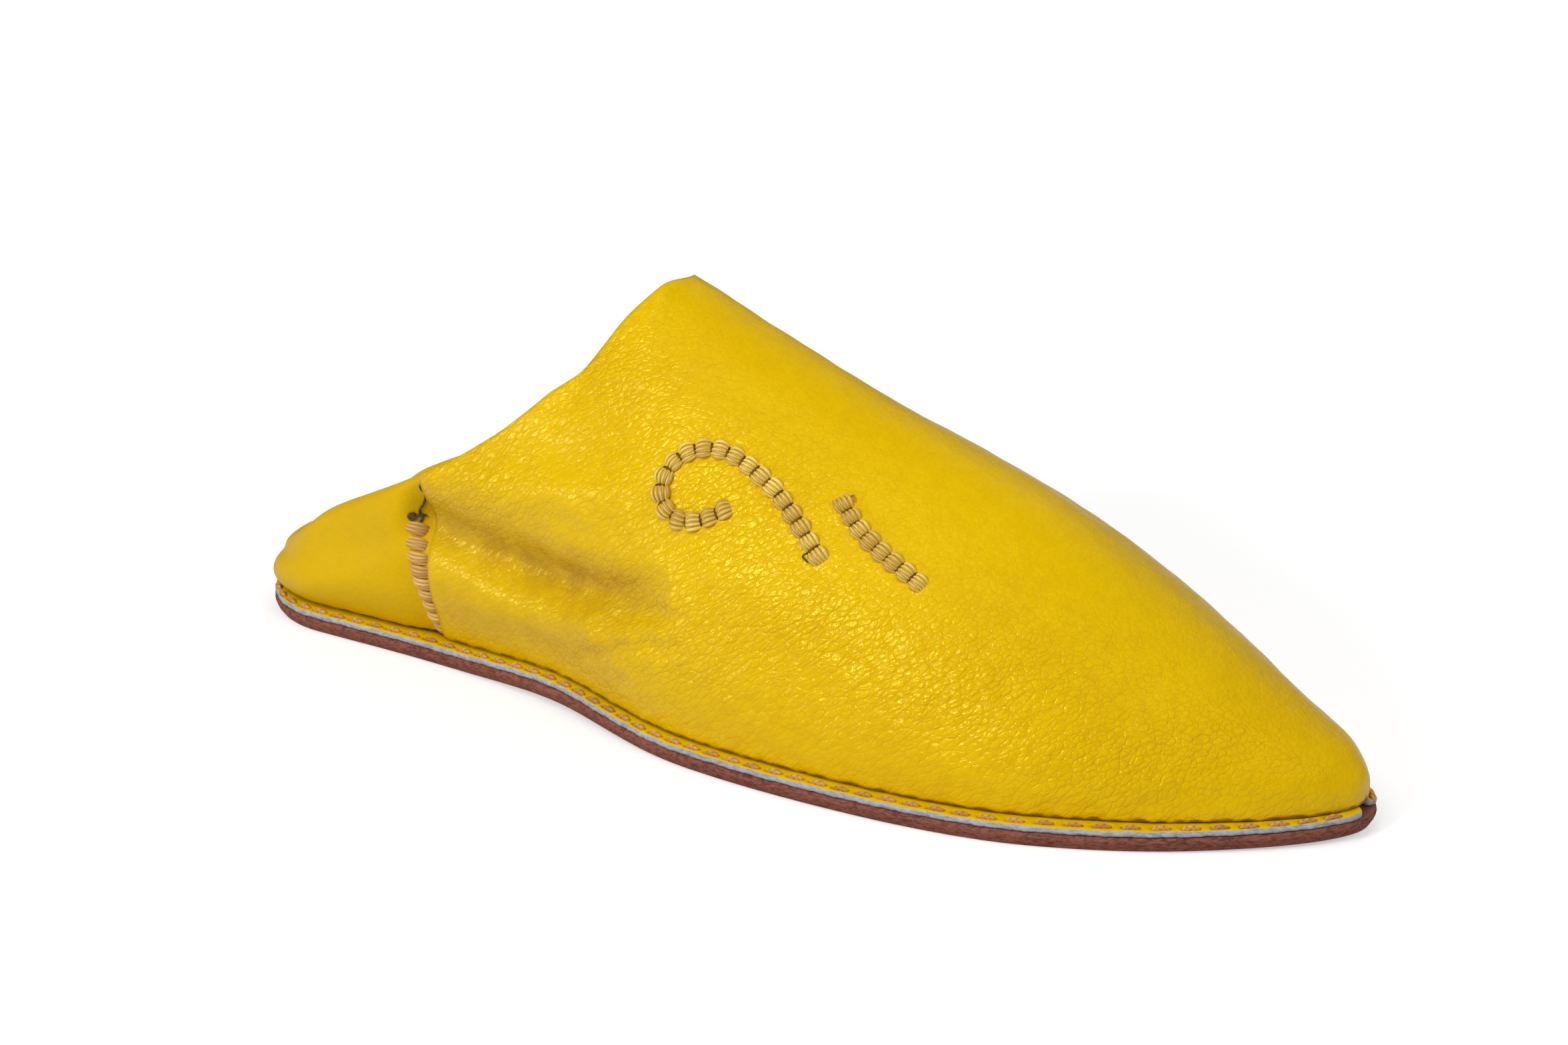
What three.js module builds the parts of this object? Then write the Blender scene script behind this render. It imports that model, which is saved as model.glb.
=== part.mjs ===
// Babouche: a right-foot leather slipper with a pointed toe and its back folded down.
//
// Design frame, in millimetres: X runs from the heel's back (0) to the toe's tip (LENGTH),
// -Y is the lateral (outer) side, +Y the medial (inner) side, +Z is up and z = 0 is the floor.
// The exported group is shifted so that its origin is the bottom centre of its bounding box.
//
// Every piece comes from two things: the sole's outline, a lateral and a medial half width at
// each x, and the form, the outer surface of the shoe's last as a half section at each x.

import * as THREE from "three";

// ---- driving dimensions ----

const LENGTH = 283; // sole, heel to toe
const OUTSOLE_THICKNESS = 3.5;
const RAND_THICKNESS = 1.5; // the stitched strip between outsole and upper
const RAND_WIDTH = 8.1;
const INSOLE_THICKNESS = 3.1;
const VAMP_WALL = 1.8; // leather and lining
const QUARTER_WALL = 1.6;
const GAP = 0.3; // clearance between pieces that meet

const HEEL_CENTRE = { x: 26.5, y: 4.5 }; // the heel's outline is round about this point
const HEEL_RADIUS = 26.5;
const ARCH_RISE = 1.4; // the waist's clearance off the floor
const TOE_SPRING = 1.2; // the toe tip's clearance off the floor
const HEEL_FLAT_END = 62; // x where the heel's flat spot ends
const FOREFOOT_FLAT = { from: 138, to: 230 };

const SIDE_LEDGE = 4.0; // rand left showing outside the upper, along the sides
const TOE_LEDGE = 1.8; // the same at the toe's tip
const TOE_LEDGE_LENGTH = 45; // the ledge widens over this length behind the tip

// ---- tables: one row for each section ----

// The sole's outline ahead of the heel's centre: half widths from the X axis.
const SOLE_ROWS = [
  { x: 26.5, lateral: 22.0, medial: 31.0 },
  { x: 62, lateral: 24.3, medial: 30.5 },
  { x: 82, lateral: 27.5, medial: 29.5 },
  { x: 99, lateral: 31.5, medial: 29.5 },
  { x: 116, lateral: 38.0, medial: 31.0 },
  { x: 133, lateral: 43.6, medial: 35.0 },
  { x: 152, lateral: 46.6, medial: 40.5 },
  { x: 176, lateral: 48.0, medial: 45.5 },
  { x: 200, lateral: 47.3, medial: 46.8 },
  { x: 218, lateral: 44.5, medial: 44.5 },
  { x: 233, lateral: 39.4, medial: 39.8 },
  { x: 248, lateral: 32.6, medial: 32.6 },
  { x: 262, lateral: 24.0, medial: 23.6 },
  { x: 273, lateral: 15.6, medial: 15.2 },
  { x: 279, lateral: 9.4, medial: 9.2 },
  { x: 283, lateral: 0, medial: 0 },
];

// The form's half sections. ridge is the height of the centre line and shift its Y. lateral
// and medial are how far each side's handle leans out past the sole line; side and crown are
// where the side's and the ridge's handles sit, as shares of the height and the half width.
const FORM_ROWS = [
  { x: 26.5, ridge: 122, shift: 5, lateral: 16, medial: 6, side: 0.28, crown: 0.58 },
  { x: 62, ridge: 115, shift: 4, lateral: 18, medial: 8, side: 0.3, crown: 0.58 },
  { x: 92, ridge: 105.5, shift: 2, lateral: 15, medial: 9, side: 0.32, crown: 0.58 },
  { x: 116, ridge: 96.0, shift: 1, lateral: 11, medial: 9, side: 0.33, crown: 0.56 },
  { x: 132, ridge: 89.2, shift: 0, lateral: 9, medial: 8, side: 0.33, crown: 0.52 },
  { x: 149, ridge: 82.2, shift: 0, lateral: 7.5, medial: 7, side: 0.33, crown: 0.48 },
  { x: 166, ridge: 75.4, shift: 0, lateral: 6.5, medial: 6.5, side: 0.33, crown: 0.45 },
  { x: 183, ridge: 68.8, shift: 0, lateral: 6, medial: 6, side: 0.33, crown: 0.45 },
  { x: 200, ridge: 62.0, shift: 0, lateral: 6, medial: 6, side: 0.34, crown: 0.45 },
  { x: 216, ridge: 54.6, shift: 0, lateral: 5.5, medial: 5.5, side: 0.35, crown: 0.45 },
  { x: 231, ridge: 46.4, shift: 0, lateral: 5, medial: 5, side: 0.36, crown: 0.45 },
  { x: 246, ridge: 37.0, shift: 0, lateral: 4, medial: 4, side: 0.38, crown: 0.45 },
  { x: 259, ridge: 28.4, shift: 0, lateral: 3, medial: 3, side: 0.42, crown: 0.47 },
  { x: 269, ridge: 22.0, shift: 0, lateral: 2.4, medial: 2.4, side: 0.46, crown: 0.5 },
  { x: 277, ridge: 16.0, shift: 0, lateral: 1.4, medial: 1.4, side: 0.5, crown: 0.52 },
  { x: 283, ridge: 7.4, shift: 0, lateral: 0, medial: 0, side: 0.52, crown: 0.55 },
];

// The vamp's top line seen from the side, from the seam's corner up to the peak.
const COLLAR_ROWS = [
  { x: 60, lateral: 47.2, medial: 44.4 },
  { x: 70, lateral: 53.4, medial: 50.8 },
  { x: 80, lateral: 60.2, medial: 58.4 },
  { x: 90, lateral: 68.6, medial: 66.4 },
  { x: 98, lateral: 76.8, medial: 74.8 },
  { x: 105, lateral: 85.8, medial: 84.6 },
  { x: 111, lateral: 93.2, medial: 93.0 },
  { x: 116, lateral: 96.0, medial: 96.0 },
];
const PEAK_X = 116;

// The vamp's back edge, from its foot up to its corner with the collar.
const SEAM = { footX: 61.5, footZ: 6, cornerX: 60 };
const CORNER_Z = { lateral: 47.2, medial: 44.4 };

// The folded edge of the back part seen from the side.
const FOLD_ROWS = [
  { x: 0, lateral: 13.6, medial: 13.6 },
  { x: 3, lateral: 14.8, medial: 14.6 },
  { x: 8, lateral: 17.6, medial: 17.0 },
  { x: 16, lateral: 22.8, medial: 21.6 },
  { x: 24, lateral: 27.8, medial: 26.0 },
  { x: 32, lateral: 32.4, medial: 30.2 },
  { x: 40, lateral: 36.4, medial: 34.0 },
  { x: 50, lateral: 41.4, medial: 38.8 },
  { x: 60, lateral: 46.4, medial: 43.4 },
  { x: 76, lateral: 48.4, medial: 45.4 },
];
const SEAM_OVERLAP = 6; // the back part runs this far forward under the vamp
const SEAM_BLEND = 13; // and comes out flush over this length behind the seam

// The back part's section by share of the way from the seam to the heel's back: how far the
// wall stands out from the form's line, how far it bulges over the rand, how far it leans in at
// the fold, and the fold's radius.
const WALL_ROWS = [
  { share: 0, stand: 0, bulge: 0, lean: 0, fold: 1.2 },
  { share: 0.15, stand: 0, bulge: 0.2, lean: 0.9, fold: 1.5 },
  { share: 0.35, stand: 0, bulge: 0.8, lean: 3.0, fold: 2.2 },
  { share: 0.6, stand: 0.2, bulge: 1.6, lean: 3.6, fold: 2.4 },
  { share: 0.8, stand: 1.0, bulge: 2.4, lean: 3.4, fold: 2.4 },
  { share: 1, stand: 1.8, bulge: 2.8, lean: 3.0, fold: 2.4 },
];

// The folded flap's free edge, by the same share: its x, how far it has come from the wall to
// the middle of the shoe, and how far down from the fold to the insole.
const FLAP_ROWS = [
  { share: 0, x: 68, inward: 0.0, down: 0.06 },
  { share: 0.1, x: 65.5, inward: 0.02, down: 0.2 },
  { share: 0.2, x: 62.8, inward: 0.06, down: 0.48 },
  { share: 0.32, x: 60, inward: 0.15, down: 0.8 },
  { share: 0.45, x: 57.4, inward: 0.3, down: 0.97 },
  { share: 0.6, x: 55.4, inward: 0.5, down: 1 },
  { share: 0.8, x: 54, inward: 0.76, down: 1 },
  { share: 1, x: 53.5, inward: 1, down: 1 },
];

const LEATHER = { yellow: 0xe2b90a, hide: 0x6f3f33, lining: 0xc9a86a };

// ---- small helpers ----

const clamp01 = (v) => Math.min(1, Math.max(0, v));
const smooth01 = (v) => clamp01(v) ** 2 * (3 - 2 * clamp01(v));
const mix = (a, b, share) => a + (b - a) * share;

// A smooth curve through one column of a table, as a function of its key column. Towards the
// toe the key is the square root of the distance to the tip, so that the ends come out round.
function column(rows, key, name, toKey = (v) => v) {
  const keys = rows.map((row) => toKey(row[key]));
  const values = rows.map((row) => row[name]);
  const slope = (i) => (values[i + 1] - values[i]) / (keys[i + 1] - keys[i]);
  const tangents = keys.map((_, i) => {
    if (i === 0) return slope(0);
    if (i === keys.length - 1) return slope(i - 1);
    const before = keys[i] - keys[i - 1];
    const after = keys[i + 1] - keys[i];
    return (slope(i - 1) * after + slope(i) * before) / (before + after);
  });
  const rising = keys[1] > keys[0];
  return (v) => {
    const k = toKey(v);
    let i = 0;
    while (i < keys.length - 2 && (rising ? k > keys[i + 1] : k < keys[i + 1])) i += 1;
    const span = keys[i + 1] - keys[i];
    const t = clamp01((k - keys[i]) / span);
    const bend = t * t * (3 - 2 * t);
    return (
      mix(values[i], values[i + 1], bend) +
      span * t * (1 - t) * ((1 - t) * tangents[i] - t * tangents[i + 1])
    );
  };
}

const toToe = (x) => Math.sqrt(Math.max(0, LENGTH - x));
const soleHalf = {
  lateral: column(SOLE_ROWS, "x", "lateral", toToe),
  medial: column(SOLE_ROWS, "x", "medial", toToe),
};
const form = Object.fromEntries(
  ["ridge", "shift", "lateral", "medial", "side", "crown"].map((name) => [
    name,
    column(FORM_ROWS, "x", name, toToe),
  ]),
);
const bySide = (rows) => ({
  lateral: column(rows, "x", "lateral"),
  medial: column(rows, "x", "medial"),
});
const collarHeight = bySide(COLLAR_ROWS);
const foldHeight = bySide(FOLD_ROWS);
const nameOf = (side) => (side < 0 ? "lateral" : "medial");
const wall = Object.fromEntries(
  ["stand", "bulge", "lean", "fold"].map((name) => [name, column(WALL_ROWS, "share", name)]),
);
const flap = Object.fromEntries(
  ["x", "inward", "down"].map((name) => [name, column(FLAP_ROWS, "share", name)]),
);

// Height of the outsole's underside: flat heel, a slight arch, flat forefoot, toe spring.
function underside(x) {
  const waist = clamp01((x - HEEL_FLAT_END) / (FOREFOOT_FLAT.from - HEEL_FLAT_END));
  const spring = clamp01((x - FOREFOOT_FLAT.to) / (LENGTH - FOREFOOT_FLAT.to));
  return ARCH_RISE * Math.sin(Math.PI * waist) ** 2 + TOE_SPRING * spring ** 1.8;
}

const outsoleTop = (x) => underside(x) + OUTSOLE_THICKNESS;
const randTop = (x) => outsoleTop(x) + GAP + RAND_THICKNESS;
const upperFoot = (x) => randTop(x) + GAP; // where the upper's wall stands
const insoleTop = (x) => outsoleTop(x) + GAP + INSOLE_THICKNESS;

// ---- closed meshes from grids and rings ----

// A mesh with its position only, from a list of THREE.Vector3 and index triples.
function meshOf(name, colour, points, triangles) {
  const geometry = new THREE.BufferGeometry().setFromPoints(points);
  geometry.setIndex(triangles.flat());
  geometry.computeVertexNormals();
  const material = new THREE.MeshStandardMaterial({
    color: colour,
    roughness: 0.55,
    metalness: 0,
  });
  const mesh = new THREE.Mesh(geometry, material);
  mesh.name = name;
  return mesh;
}

// Two triangles for the quad a, b, c, d.
const quad = (a, b, c, d) => [
  [a, b, c],
  [a, c, d],
];

// Rings of equal length, bottom to top, closed by caps that join the two sides of each ring.
// A ring runs from the toe's tip along one side to the heel's back, then along the other.
function stackOfRings(name, colour, rings) {
  const count = rings[0].length;
  const points = rings.flat();
  const triangles = [];
  for (let r = 0; r + 1 < rings.length; r += 1) {
    for (let i = 0; i < count; i += 1) {
      const next = (i + 1) % count;
      const low = r * count;
      const high = low + count;
      triangles.push(...quad(low + i, low + next, high + next, high + i));
    }
  }
  const cap = (base, up) => {
    for (let i = 0; i < count / 2; i += 1) {
      const [a, b] = [i, i + 1];
      const [c, d] = [count - i - 1, (count - i) % count];
      const faces = i === 0 ? [[a, b, c]] : quad(a, b, c, d);
      for (const face of b === c ? [[a, b, d]] : faces) {
        const ring = face.map((v) => base + v);
        triangles.push(up ? ring : ring.reverse());
      }
    }
  };
  cap(0, false);
  cap((rings.length - 1) * count, true);
  return meshOf(name, colour, points, triangles);
}

// ---- the sole's outline ----

const FAN_STEPS = 12; // stations in each quarter of the heel's round
const SIDE_STEPS = 44; // stations along each side ahead of it

// Stations from the heel's back to the toe's tip, as x positions.
const stationX = [];
for (let i = 0; i < FAN_STEPS; i += 1) {
  const angle = (Math.PI / 2) * (1 - i / FAN_STEPS);
  stationX.push(HEEL_CENTRE.x - HEEL_RADIUS * Math.sin(angle));
}
for (let i = 0; i <= SIDE_STEPS; i += 1) {
  const left = 1 - i / SIDE_STEPS;
  stationX.push(LENGTH - (LENGTH - HEEL_CENTRE.x) * left ** 1.8);
}

// A point on the sole's outline at x; side is -1 for lateral and +1 for medial.
function outlinePoint(x, side) {
  if (x < HEEL_CENTRE.x) {
    const along = (HEEL_CENTRE.x - x) / HEEL_RADIUS;
    const half = HEEL_RADIUS * Math.sqrt(Math.max(0, 1 - along * along));
    return new THREE.Vector2(x, HEEL_CENTRE.y + side * half);
  }
  return new THREE.Vector2(x, side * (side < 0 ? soleHalf.lateral(x) : soleHalf.medial(x)));
}

// The whole outline: toe tip, medial side to the heel's back, then the lateral side.
const outline = [
  ...[...stationX].reverse().map((x) => outlinePoint(x, 1)),
  ...stationX.slice(1, -1).map((x) => outlinePoint(x, -1)),
];

// The outline moved inward by inset(x), at the height height(x).
function ring(inset, height) {
  const insetAt = typeof inset === "number" ? () => inset : inset;
  return outline.map((p, i) => {
    const before = outline[(i + outline.length - 1) % outline.length];
    const after = outline[(i + 1) % outline.length];
    const along = after.clone().sub(before).normalize();
    const x = p.x - along.y * insetAt(p.x);
    const y = p.y + along.x * insetAt(p.x);
    return new THREE.Vector3(x, y, height(x));
  });
}

// ---- outsole, rand and insole ----

const EDGE_BEVEL = 1.3; // the outsole's lower edge is pared away by this much

const outsole = stackOfRings("outsole", LEATHER.hide, [
  ring(EDGE_BEVEL, underside),
  ring(0.35, (x) => underside(x) + EDGE_BEVEL),
  ring(0, (x) => underside(x) + OUTSOLE_THICKNESS * 0.72),
  ring(0.25, outsoleTop),
]);

// The rand's section, as inset from the outline and height over the outsole. Its outer edge is
// rolled down a little, and it runs round the sole from toe to toe, with its ends a step apart.
const RAND_SECTION = [
  { inset: 0.1, height: 0 },
  { inset: 0.2, height: RAND_THICKNESS * 0.75 },
  { inset: 1.1, height: RAND_THICKNESS },
  { inset: RAND_WIDTH, height: RAND_THICKNESS },
  { inset: RAND_WIDTH, height: 0 },
];
const RAND_END = 1; // outline points left open on each side of the toe's tip

function makeRand() {
  const rails = RAND_SECTION.map(({ inset, height }) =>
    ring(inset, (x) => outsoleTop(x) + GAP + height),
  );
  const corners = rails.length;
  const kept = [];
  for (let i = RAND_END; i <= outline.length - RAND_END; i += 1) kept.push(i);
  const points = kept.flatMap((i) => rails.map((rail) => rail[i]));
  const triangles = [];
  for (let k = 0; k + 1 < kept.length; k += 1) {
    for (let c = 0; c < corners; c += 1) {
      const next = (c + 1) % corners;
      const here = k * corners;
      const there = here + corners;
      triangles.push(...quad(here + c, there + c, there + next, here + next));
    }
  }
  const last = (kept.length - 1) * corners;
  for (let c = 1; c + 1 < corners; c += 1) {
    triangles.push([0, c, c + 1]);
    triangles.push([last, last + c + 1, last + c]);
  }
  return meshOf("rand", LEATHER.yellow, points, triangles);
}

const INSOLE_INSET = RAND_WIDTH + GAP + 0.2;
const LIP_INSET = SIDE_LEDGE + VAMP_WALL + GAP + 0.35;
const LIP_STARTS = { from: 70, to: 80 }; // ahead of the back part the insole laps the rand
const lipInset = (x) =>
  mix(INSOLE_INSET, LIP_INSET, smooth01((x - LIP_STARTS.from) / (LIP_STARTS.to - LIP_STARTS.from)));
const insole = stackOfRings("insole", LEATHER.lining, [
  ring(INSOLE_INSET, (x) => outsoleTop(x) + GAP),
  ring(INSOLE_INSET, (x) => upperFoot(x) - 0.02),
  ring(lipInset, upperFoot),
  ring(lipInset, (x) => insoleTop(x) - 0.6),
  ring((x) => lipInset(x) + 0.6, insoleTop),
]);

// ---- the form: one half section at x, from the sole (t = 0) to the ridge (t = 1) ----

const bezier = (t, a, b, c, d) =>
  (1 - t) ** 3 * a + 3 * (1 - t) ** 2 * t * b + 3 * (1 - t) * t * t * c + t ** 3 * d;

// Where the upper's wall stands: the sole's half width less the rand's ledge.
function footHalf(x, side) {
  const half = side < 0 ? soleHalf.lateral : soleHalf.medial;
  const toToeTip = clamp01((LENGTH - TOE_LEDGE - x) / TOE_LEDGE_LENGTH);
  const reach = (x * LENGTH) / (LENGTH - TOE_LEDGE);
  return Math.max(0, half(Math.min(reach, LENGTH)) - SIDE_LEDGE * Math.sqrt(toToeTip));
}

function formPoint(x, side, t) {
  const foot = upperFoot(x);
  const top = form.ridge(x);
  const half = footHalf(x, side);
  const shift = form.shift(x);
  const lean = side < 0 ? form.lateral(x) : form.medial(x);
  const handle = foot + form.side(x) * (top - foot);
  const crown = shift + side * form.crown(x) * (half + 2);
  return new THREE.Vector3(
    x,
    bezier(t, side * half, side * (half + lean), crown, shift),
    bezier(t, foot, handle, top, top),
  );
}

// ---- the vamp: the hollow upper, open at the collar, the back and underneath ----

const TOE_X = LENGTH - TOE_LEDGE; // tip of the upper
const VAMP_STEPS = 34; // from the collar to the toe
const SEAM_STEPS = 6; // up each side seam
const CROWN_STEPS = 12; // from the seam's corner to the ridge, on each side

function seamX(z, side) {
  const up = clamp01((z - SEAM.footZ) / (CORNER_Z[nameOf(side)] - SEAM.footZ));
  return mix(SEAM.footX, SEAM.cornerX, up);
}

// The root of a rising function between low and high.
function solve(rising, low, high) {
  for (let i = 0; i < 50; i += 1) {
    const middle = (low + high) / 2;
    if (rising(middle) > 0) high = middle;
    else low = middle;
  }
  return (low + high) / 2;
}

// The section's t at the corner where the collar meets the seam.
const cornerT = (side) =>
  solve((t) => formPoint(SEAM.cornerX, side, t).z - CORNER_Z[nameOf(side)], 0, 0.9);

// Where the vamp starts, along the section line t: at the seam or at the collar.
function vampStart(side, t, corner) {
  if (t <= corner) {
    const short = (x) => x - seamX(formPoint(x, side, t).z, side);
    return solve(short, SEAM.cornerX - 5, SEAM.footX + 5);
  }
  const height = collarHeight[nameOf(side)];
  return solve((x) => height(x) - formPoint(x, side, t).z, SEAM.cornerX, PEAK_X + 1);
}

// The outward normal of the form, by differences.
function formNormal(x, side, t) {
  const step = 0.02;
  const [ta, tb] = [Math.max(0, t - step), Math.min(1, t + step)];
  const xa = Math.max(SEAM.cornerX - 8, x - 0.4);
  const xb = Math.min(TOE_X - 0.05, x + 0.4);
  const up = formPoint(x, side, tb).sub(formPoint(x, side, ta));
  if (t === 1) up.set(0, -side, 0);
  const forward = formPoint(xb, side, t).sub(formPoint(xa, side, t));
  return forward.cross(up).multiplyScalar(-side).normalize();
}

function makeVamp() {
  // One line for each t: lateral foot, over the ridge, medial foot.
  const lines = [];
  for (const side of [-1, 1]) {
    const corner = cornerT(side);
    const steps = [];
    for (let i = 0; i <= SEAM_STEPS; i += 1) steps.push((corner * i) / SEAM_STEPS);
    for (let i = 1; i <= CROWN_STEPS; i += 1) {
      steps.push(mix(corner, 1, i / CROWN_STEPS));
    }
    if (side > 0) steps.reverse().shift(); // the ridge is already there
    for (const t of steps) {
      const start = t === 1 ? PEAK_X : vampStart(side, t, corner);
      lines.push({ side, t, start });
    }
  }
  const outer = [];
  const inner = [];
  for (const { side, t, start } of lines) {
    for (let i = 0; i < VAMP_STEPS; i += 1) {
      const x = TOE_X - (TOE_X - start) * (1 - i / VAMP_STEPS) ** 1.8;
      const point = formPoint(x, side, t);
      const inward = formNormal(x, side, t).multiplyScalar(-VAMP_WALL);
      if (t === 0) {
        inward.setZ(0).setLength(VAMP_WALL); // the wall's foot is cut level
      }
      const inside = point.clone().add(inward);
      inside.z = Math.max(inside.z, upperFoot(inside.x));
      outer.push(point);
      inner.push(inside);
    }
  }
  const tip = new THREE.Vector3(TOE_X, 0, upperFoot(TOE_X));
  const innerTip = new THREE.Vector3(TOE_X - VAMP_WALL, 0, upperFoot(TOE_X - VAMP_WALL));
  const points = [...outer, tip, ...inner, innerTip];
  const tipAt = outer.length;
  const innerBase = tipAt + 1;
  const innerTipAt = innerBase + inner.length;
  const at = (line, i) => line * VAMP_STEPS + i;
  const triangles = [];
  const lastLine = lines.length - 1;
  const end = VAMP_STEPS - 1;
  for (let line = 0; line < lastLine; line += 1) {
    for (let i = 0; i < end; i += 1) {
      const [a, b] = [at(line, i), at(line, i + 1)];
      const [c, d] = [at(line + 1, i + 1), at(line + 1, i)];
      triangles.push(...quad(a, b, c, d));
      triangles.push(...quad(innerBase + a, innerBase + d, innerBase + c, innerBase + b));
    }
    triangles.push([at(line, end), tipAt, at(line + 1, end)]);
    triangles.push([innerBase + at(line, end), innerBase + at(line + 1, end), innerTipAt]);
    // the cut edge along the seams and the collar
    const [a, d] = [at(line, 0), at(line + 1, 0)];
    triangles.push(...quad(a, d, innerBase + d, innerBase + a));
  }
  // the foot of the wall on both sides, meeting at the tip
  for (let i = 0; i < end; i += 1) {
    const [a, b] = [at(0, i), at(0, i + 1)];
    triangles.push(...quad(a, innerBase + a, innerBase + b, b));
    const [c, d] = [at(lastLine, i), at(lastLine, i + 1)];
    triangles.push(...quad(c, d, innerBase + d, innerBase + c));
  }
  const [a, c] = [at(0, end), at(lastLine, end)];
  triangles.push(...quad(a, innerBase + a, innerTipAt, tipAt));
  triangles.push(...quad(c, tipAt, innerTipAt, innerBase + c));
  return meshOf("upper", LEATHER.yellow, points, triangles);
}

// ---- the quarter: the heel's wall, folded over and down onto the insole ----

const QUARTER_SIDE_STEPS = 11; // from the seam to the heel's centre, on each side
const QUARTER_FAN_STEPS = 11; // from there to the heel's back
const WALL_STEPS = 6;
const FOLD_STEPS = 5;
const FLAP_STEPS = 8;
const FLAP_LIFT = 0.45; // air between the flap and the insole

// Where a station of the quarter stands: its x on the form, the way out from the middle of the
// shoe, and its share of the way from the seam to the heel's back.
function quarterStations() {
  const half = [];
  const reach = HEEL_CENTRE.x;
  for (let i = 0; i < QUARTER_SIDE_STEPS; i += 1) {
    half.push({ along: 1 - i / QUARTER_SIDE_STEPS, angle: 0 });
  }
  for (let i = 0; i <= QUARTER_FAN_STEPS; i += 1) {
    half.push({ along: 0, angle: ((Math.PI / 2) * i) / QUARTER_FAN_STEPS });
  }
  const round = (HEEL_RADIUS * Math.PI) / 2;
  const straight = SEAM.footX + SEAM_OVERLAP - reach;
  const stations = half.map(({ along, angle }) => ({
    along,
    angle,
    share: (straight * (1 - along) + HEEL_RADIUS * angle) / (straight + round),
  }));
  const medial = stations.slice(0, -1).reverse();
  return [
    ...stations.map((station) => ({ ...station, side: -1 })),
    ...medial.map((station) => ({ ...station, side: 1 })),
  ];
}

// How far out the form stands at x and height z, on one side.
function reachAt(x, side, z, middle) {
  const t = solve((v) => formPoint(x, side, v).z - z, 0, 0.9);
  return side * (formPoint(x, side, t).y - middle);
}

// The same for a station of the back part, with its x and the Y it is measured from. In the
// heel's round the section turns about the centre and comes to the mean of both sides.
function formReach({ side, along, angle }, z) {
  if (along > 0) {
    const x = mix(HEEL_CENTRE.x, seamX(z, side) + SEAM_OVERLAP, along);
    return { x, reach: reachAt(x, side, z, 0), middle: 0 };
  }
  const { x, y } = HEEL_CENTRE;
  const share = smooth01(angle / (Math.PI / 2)) / 2;
  return { x, reach: mix(reachAt(x, side, z, y), reachAt(x, -side, z, y), share), middle: y };
}

// The mid surface's line at one station: up the wall, over the fold and down the flap.
function quarterLine(station) {
  const { side, along, angle, share } = station;
  const out = new THREE.Vector3(-Math.sin(angle), side * Math.cos(angle), 0);
  const front = along > 0;
  const foldX = front ? formReach(station, 99).x : HEEL_CENTRE.x + out.x * HEEL_RADIUS;
  const foot = upperFoot(Math.max(0, foldX)) + 0.1;
  const fold = wall.fold(share);
  const wallTop = foldHeight[nameOf(side)](Math.max(0, foldX)) - fold;
  const underVamp = 1 - smooth01((SEAM.cornerX + 1 - foldX) / SEAM_BLEND);
  const tuck = front ? (VAMP_WALL + GAP + 0.25) * underVamp : 0;
  const line = [];
  for (let i = 0; i <= WALL_STEPS; i += 1) {
    const up = i / WALL_STEPS;
    const z = mix(foot, wallTop, up);
    const { x, reach, middle } = formReach(station, z);
    const slope = (formReach(station, z + 0.5).reach - reach) / 0.5;
    const depth = (QUARTER_WALL / 2 + tuck) * Math.hypot(1, slope);
    const shaped = wall.bulge(share) * Math.sin(Math.PI * Math.min(1, up * 1.15) ** 0.7);
    const leaned = wall.lean(share) * smooth01((up - 0.25) / 0.75);
    const base = new THREE.Vector3(x, middle, z);
    line.push(base.addScaledVector(out, reach - depth + wall.stand(share) + shaped - leaned));
  }
  const top = line[line.length - 1];
  const middle = top.clone().addScaledVector(out, -fold);
  for (let i = 1; i <= FOLD_STEPS; i += 1) {
    const turn = (Math.PI * i) / FOLD_STEPS;
    const point = middle.clone().addScaledVector(out, fold * Math.cos(turn));
    line.push(point.setZ(middle.z + fold * Math.sin(turn)));
  }
  const inner = line[line.length - 1];
  const rest = (x) => insoleTop(Math.max(0, x)) + FLAP_LIFT + QUARTER_WALL / 2;
  const down = flap.down(share);
  const end = new THREE.Vector3(
    flap.x(share),
    mix(inner.y, HEEL_CENTRE.y, flap.inward(share)),
    mix(inner.z, rest(flap.x(share)), down),
  );
  // the bend sits below the fold, a little in from the wall
  const bend = inner.clone().addScaledVector(out, -2.5 * share);
  bend.x = mix(bend.x, end.x, 0.5 * (1 - down) + 0.06);
  bend.z = mix(inner.z, rest(bend.x), down * down);
  for (let i = 1; i <= FLAP_STEPS; i += 1) {
    const t = i / FLAP_STEPS;
    const first = inner.clone().lerp(bend, t);
    line.push(first.lerp(bend.clone().lerp(end, t), t));
  }
  return line;
}

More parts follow.
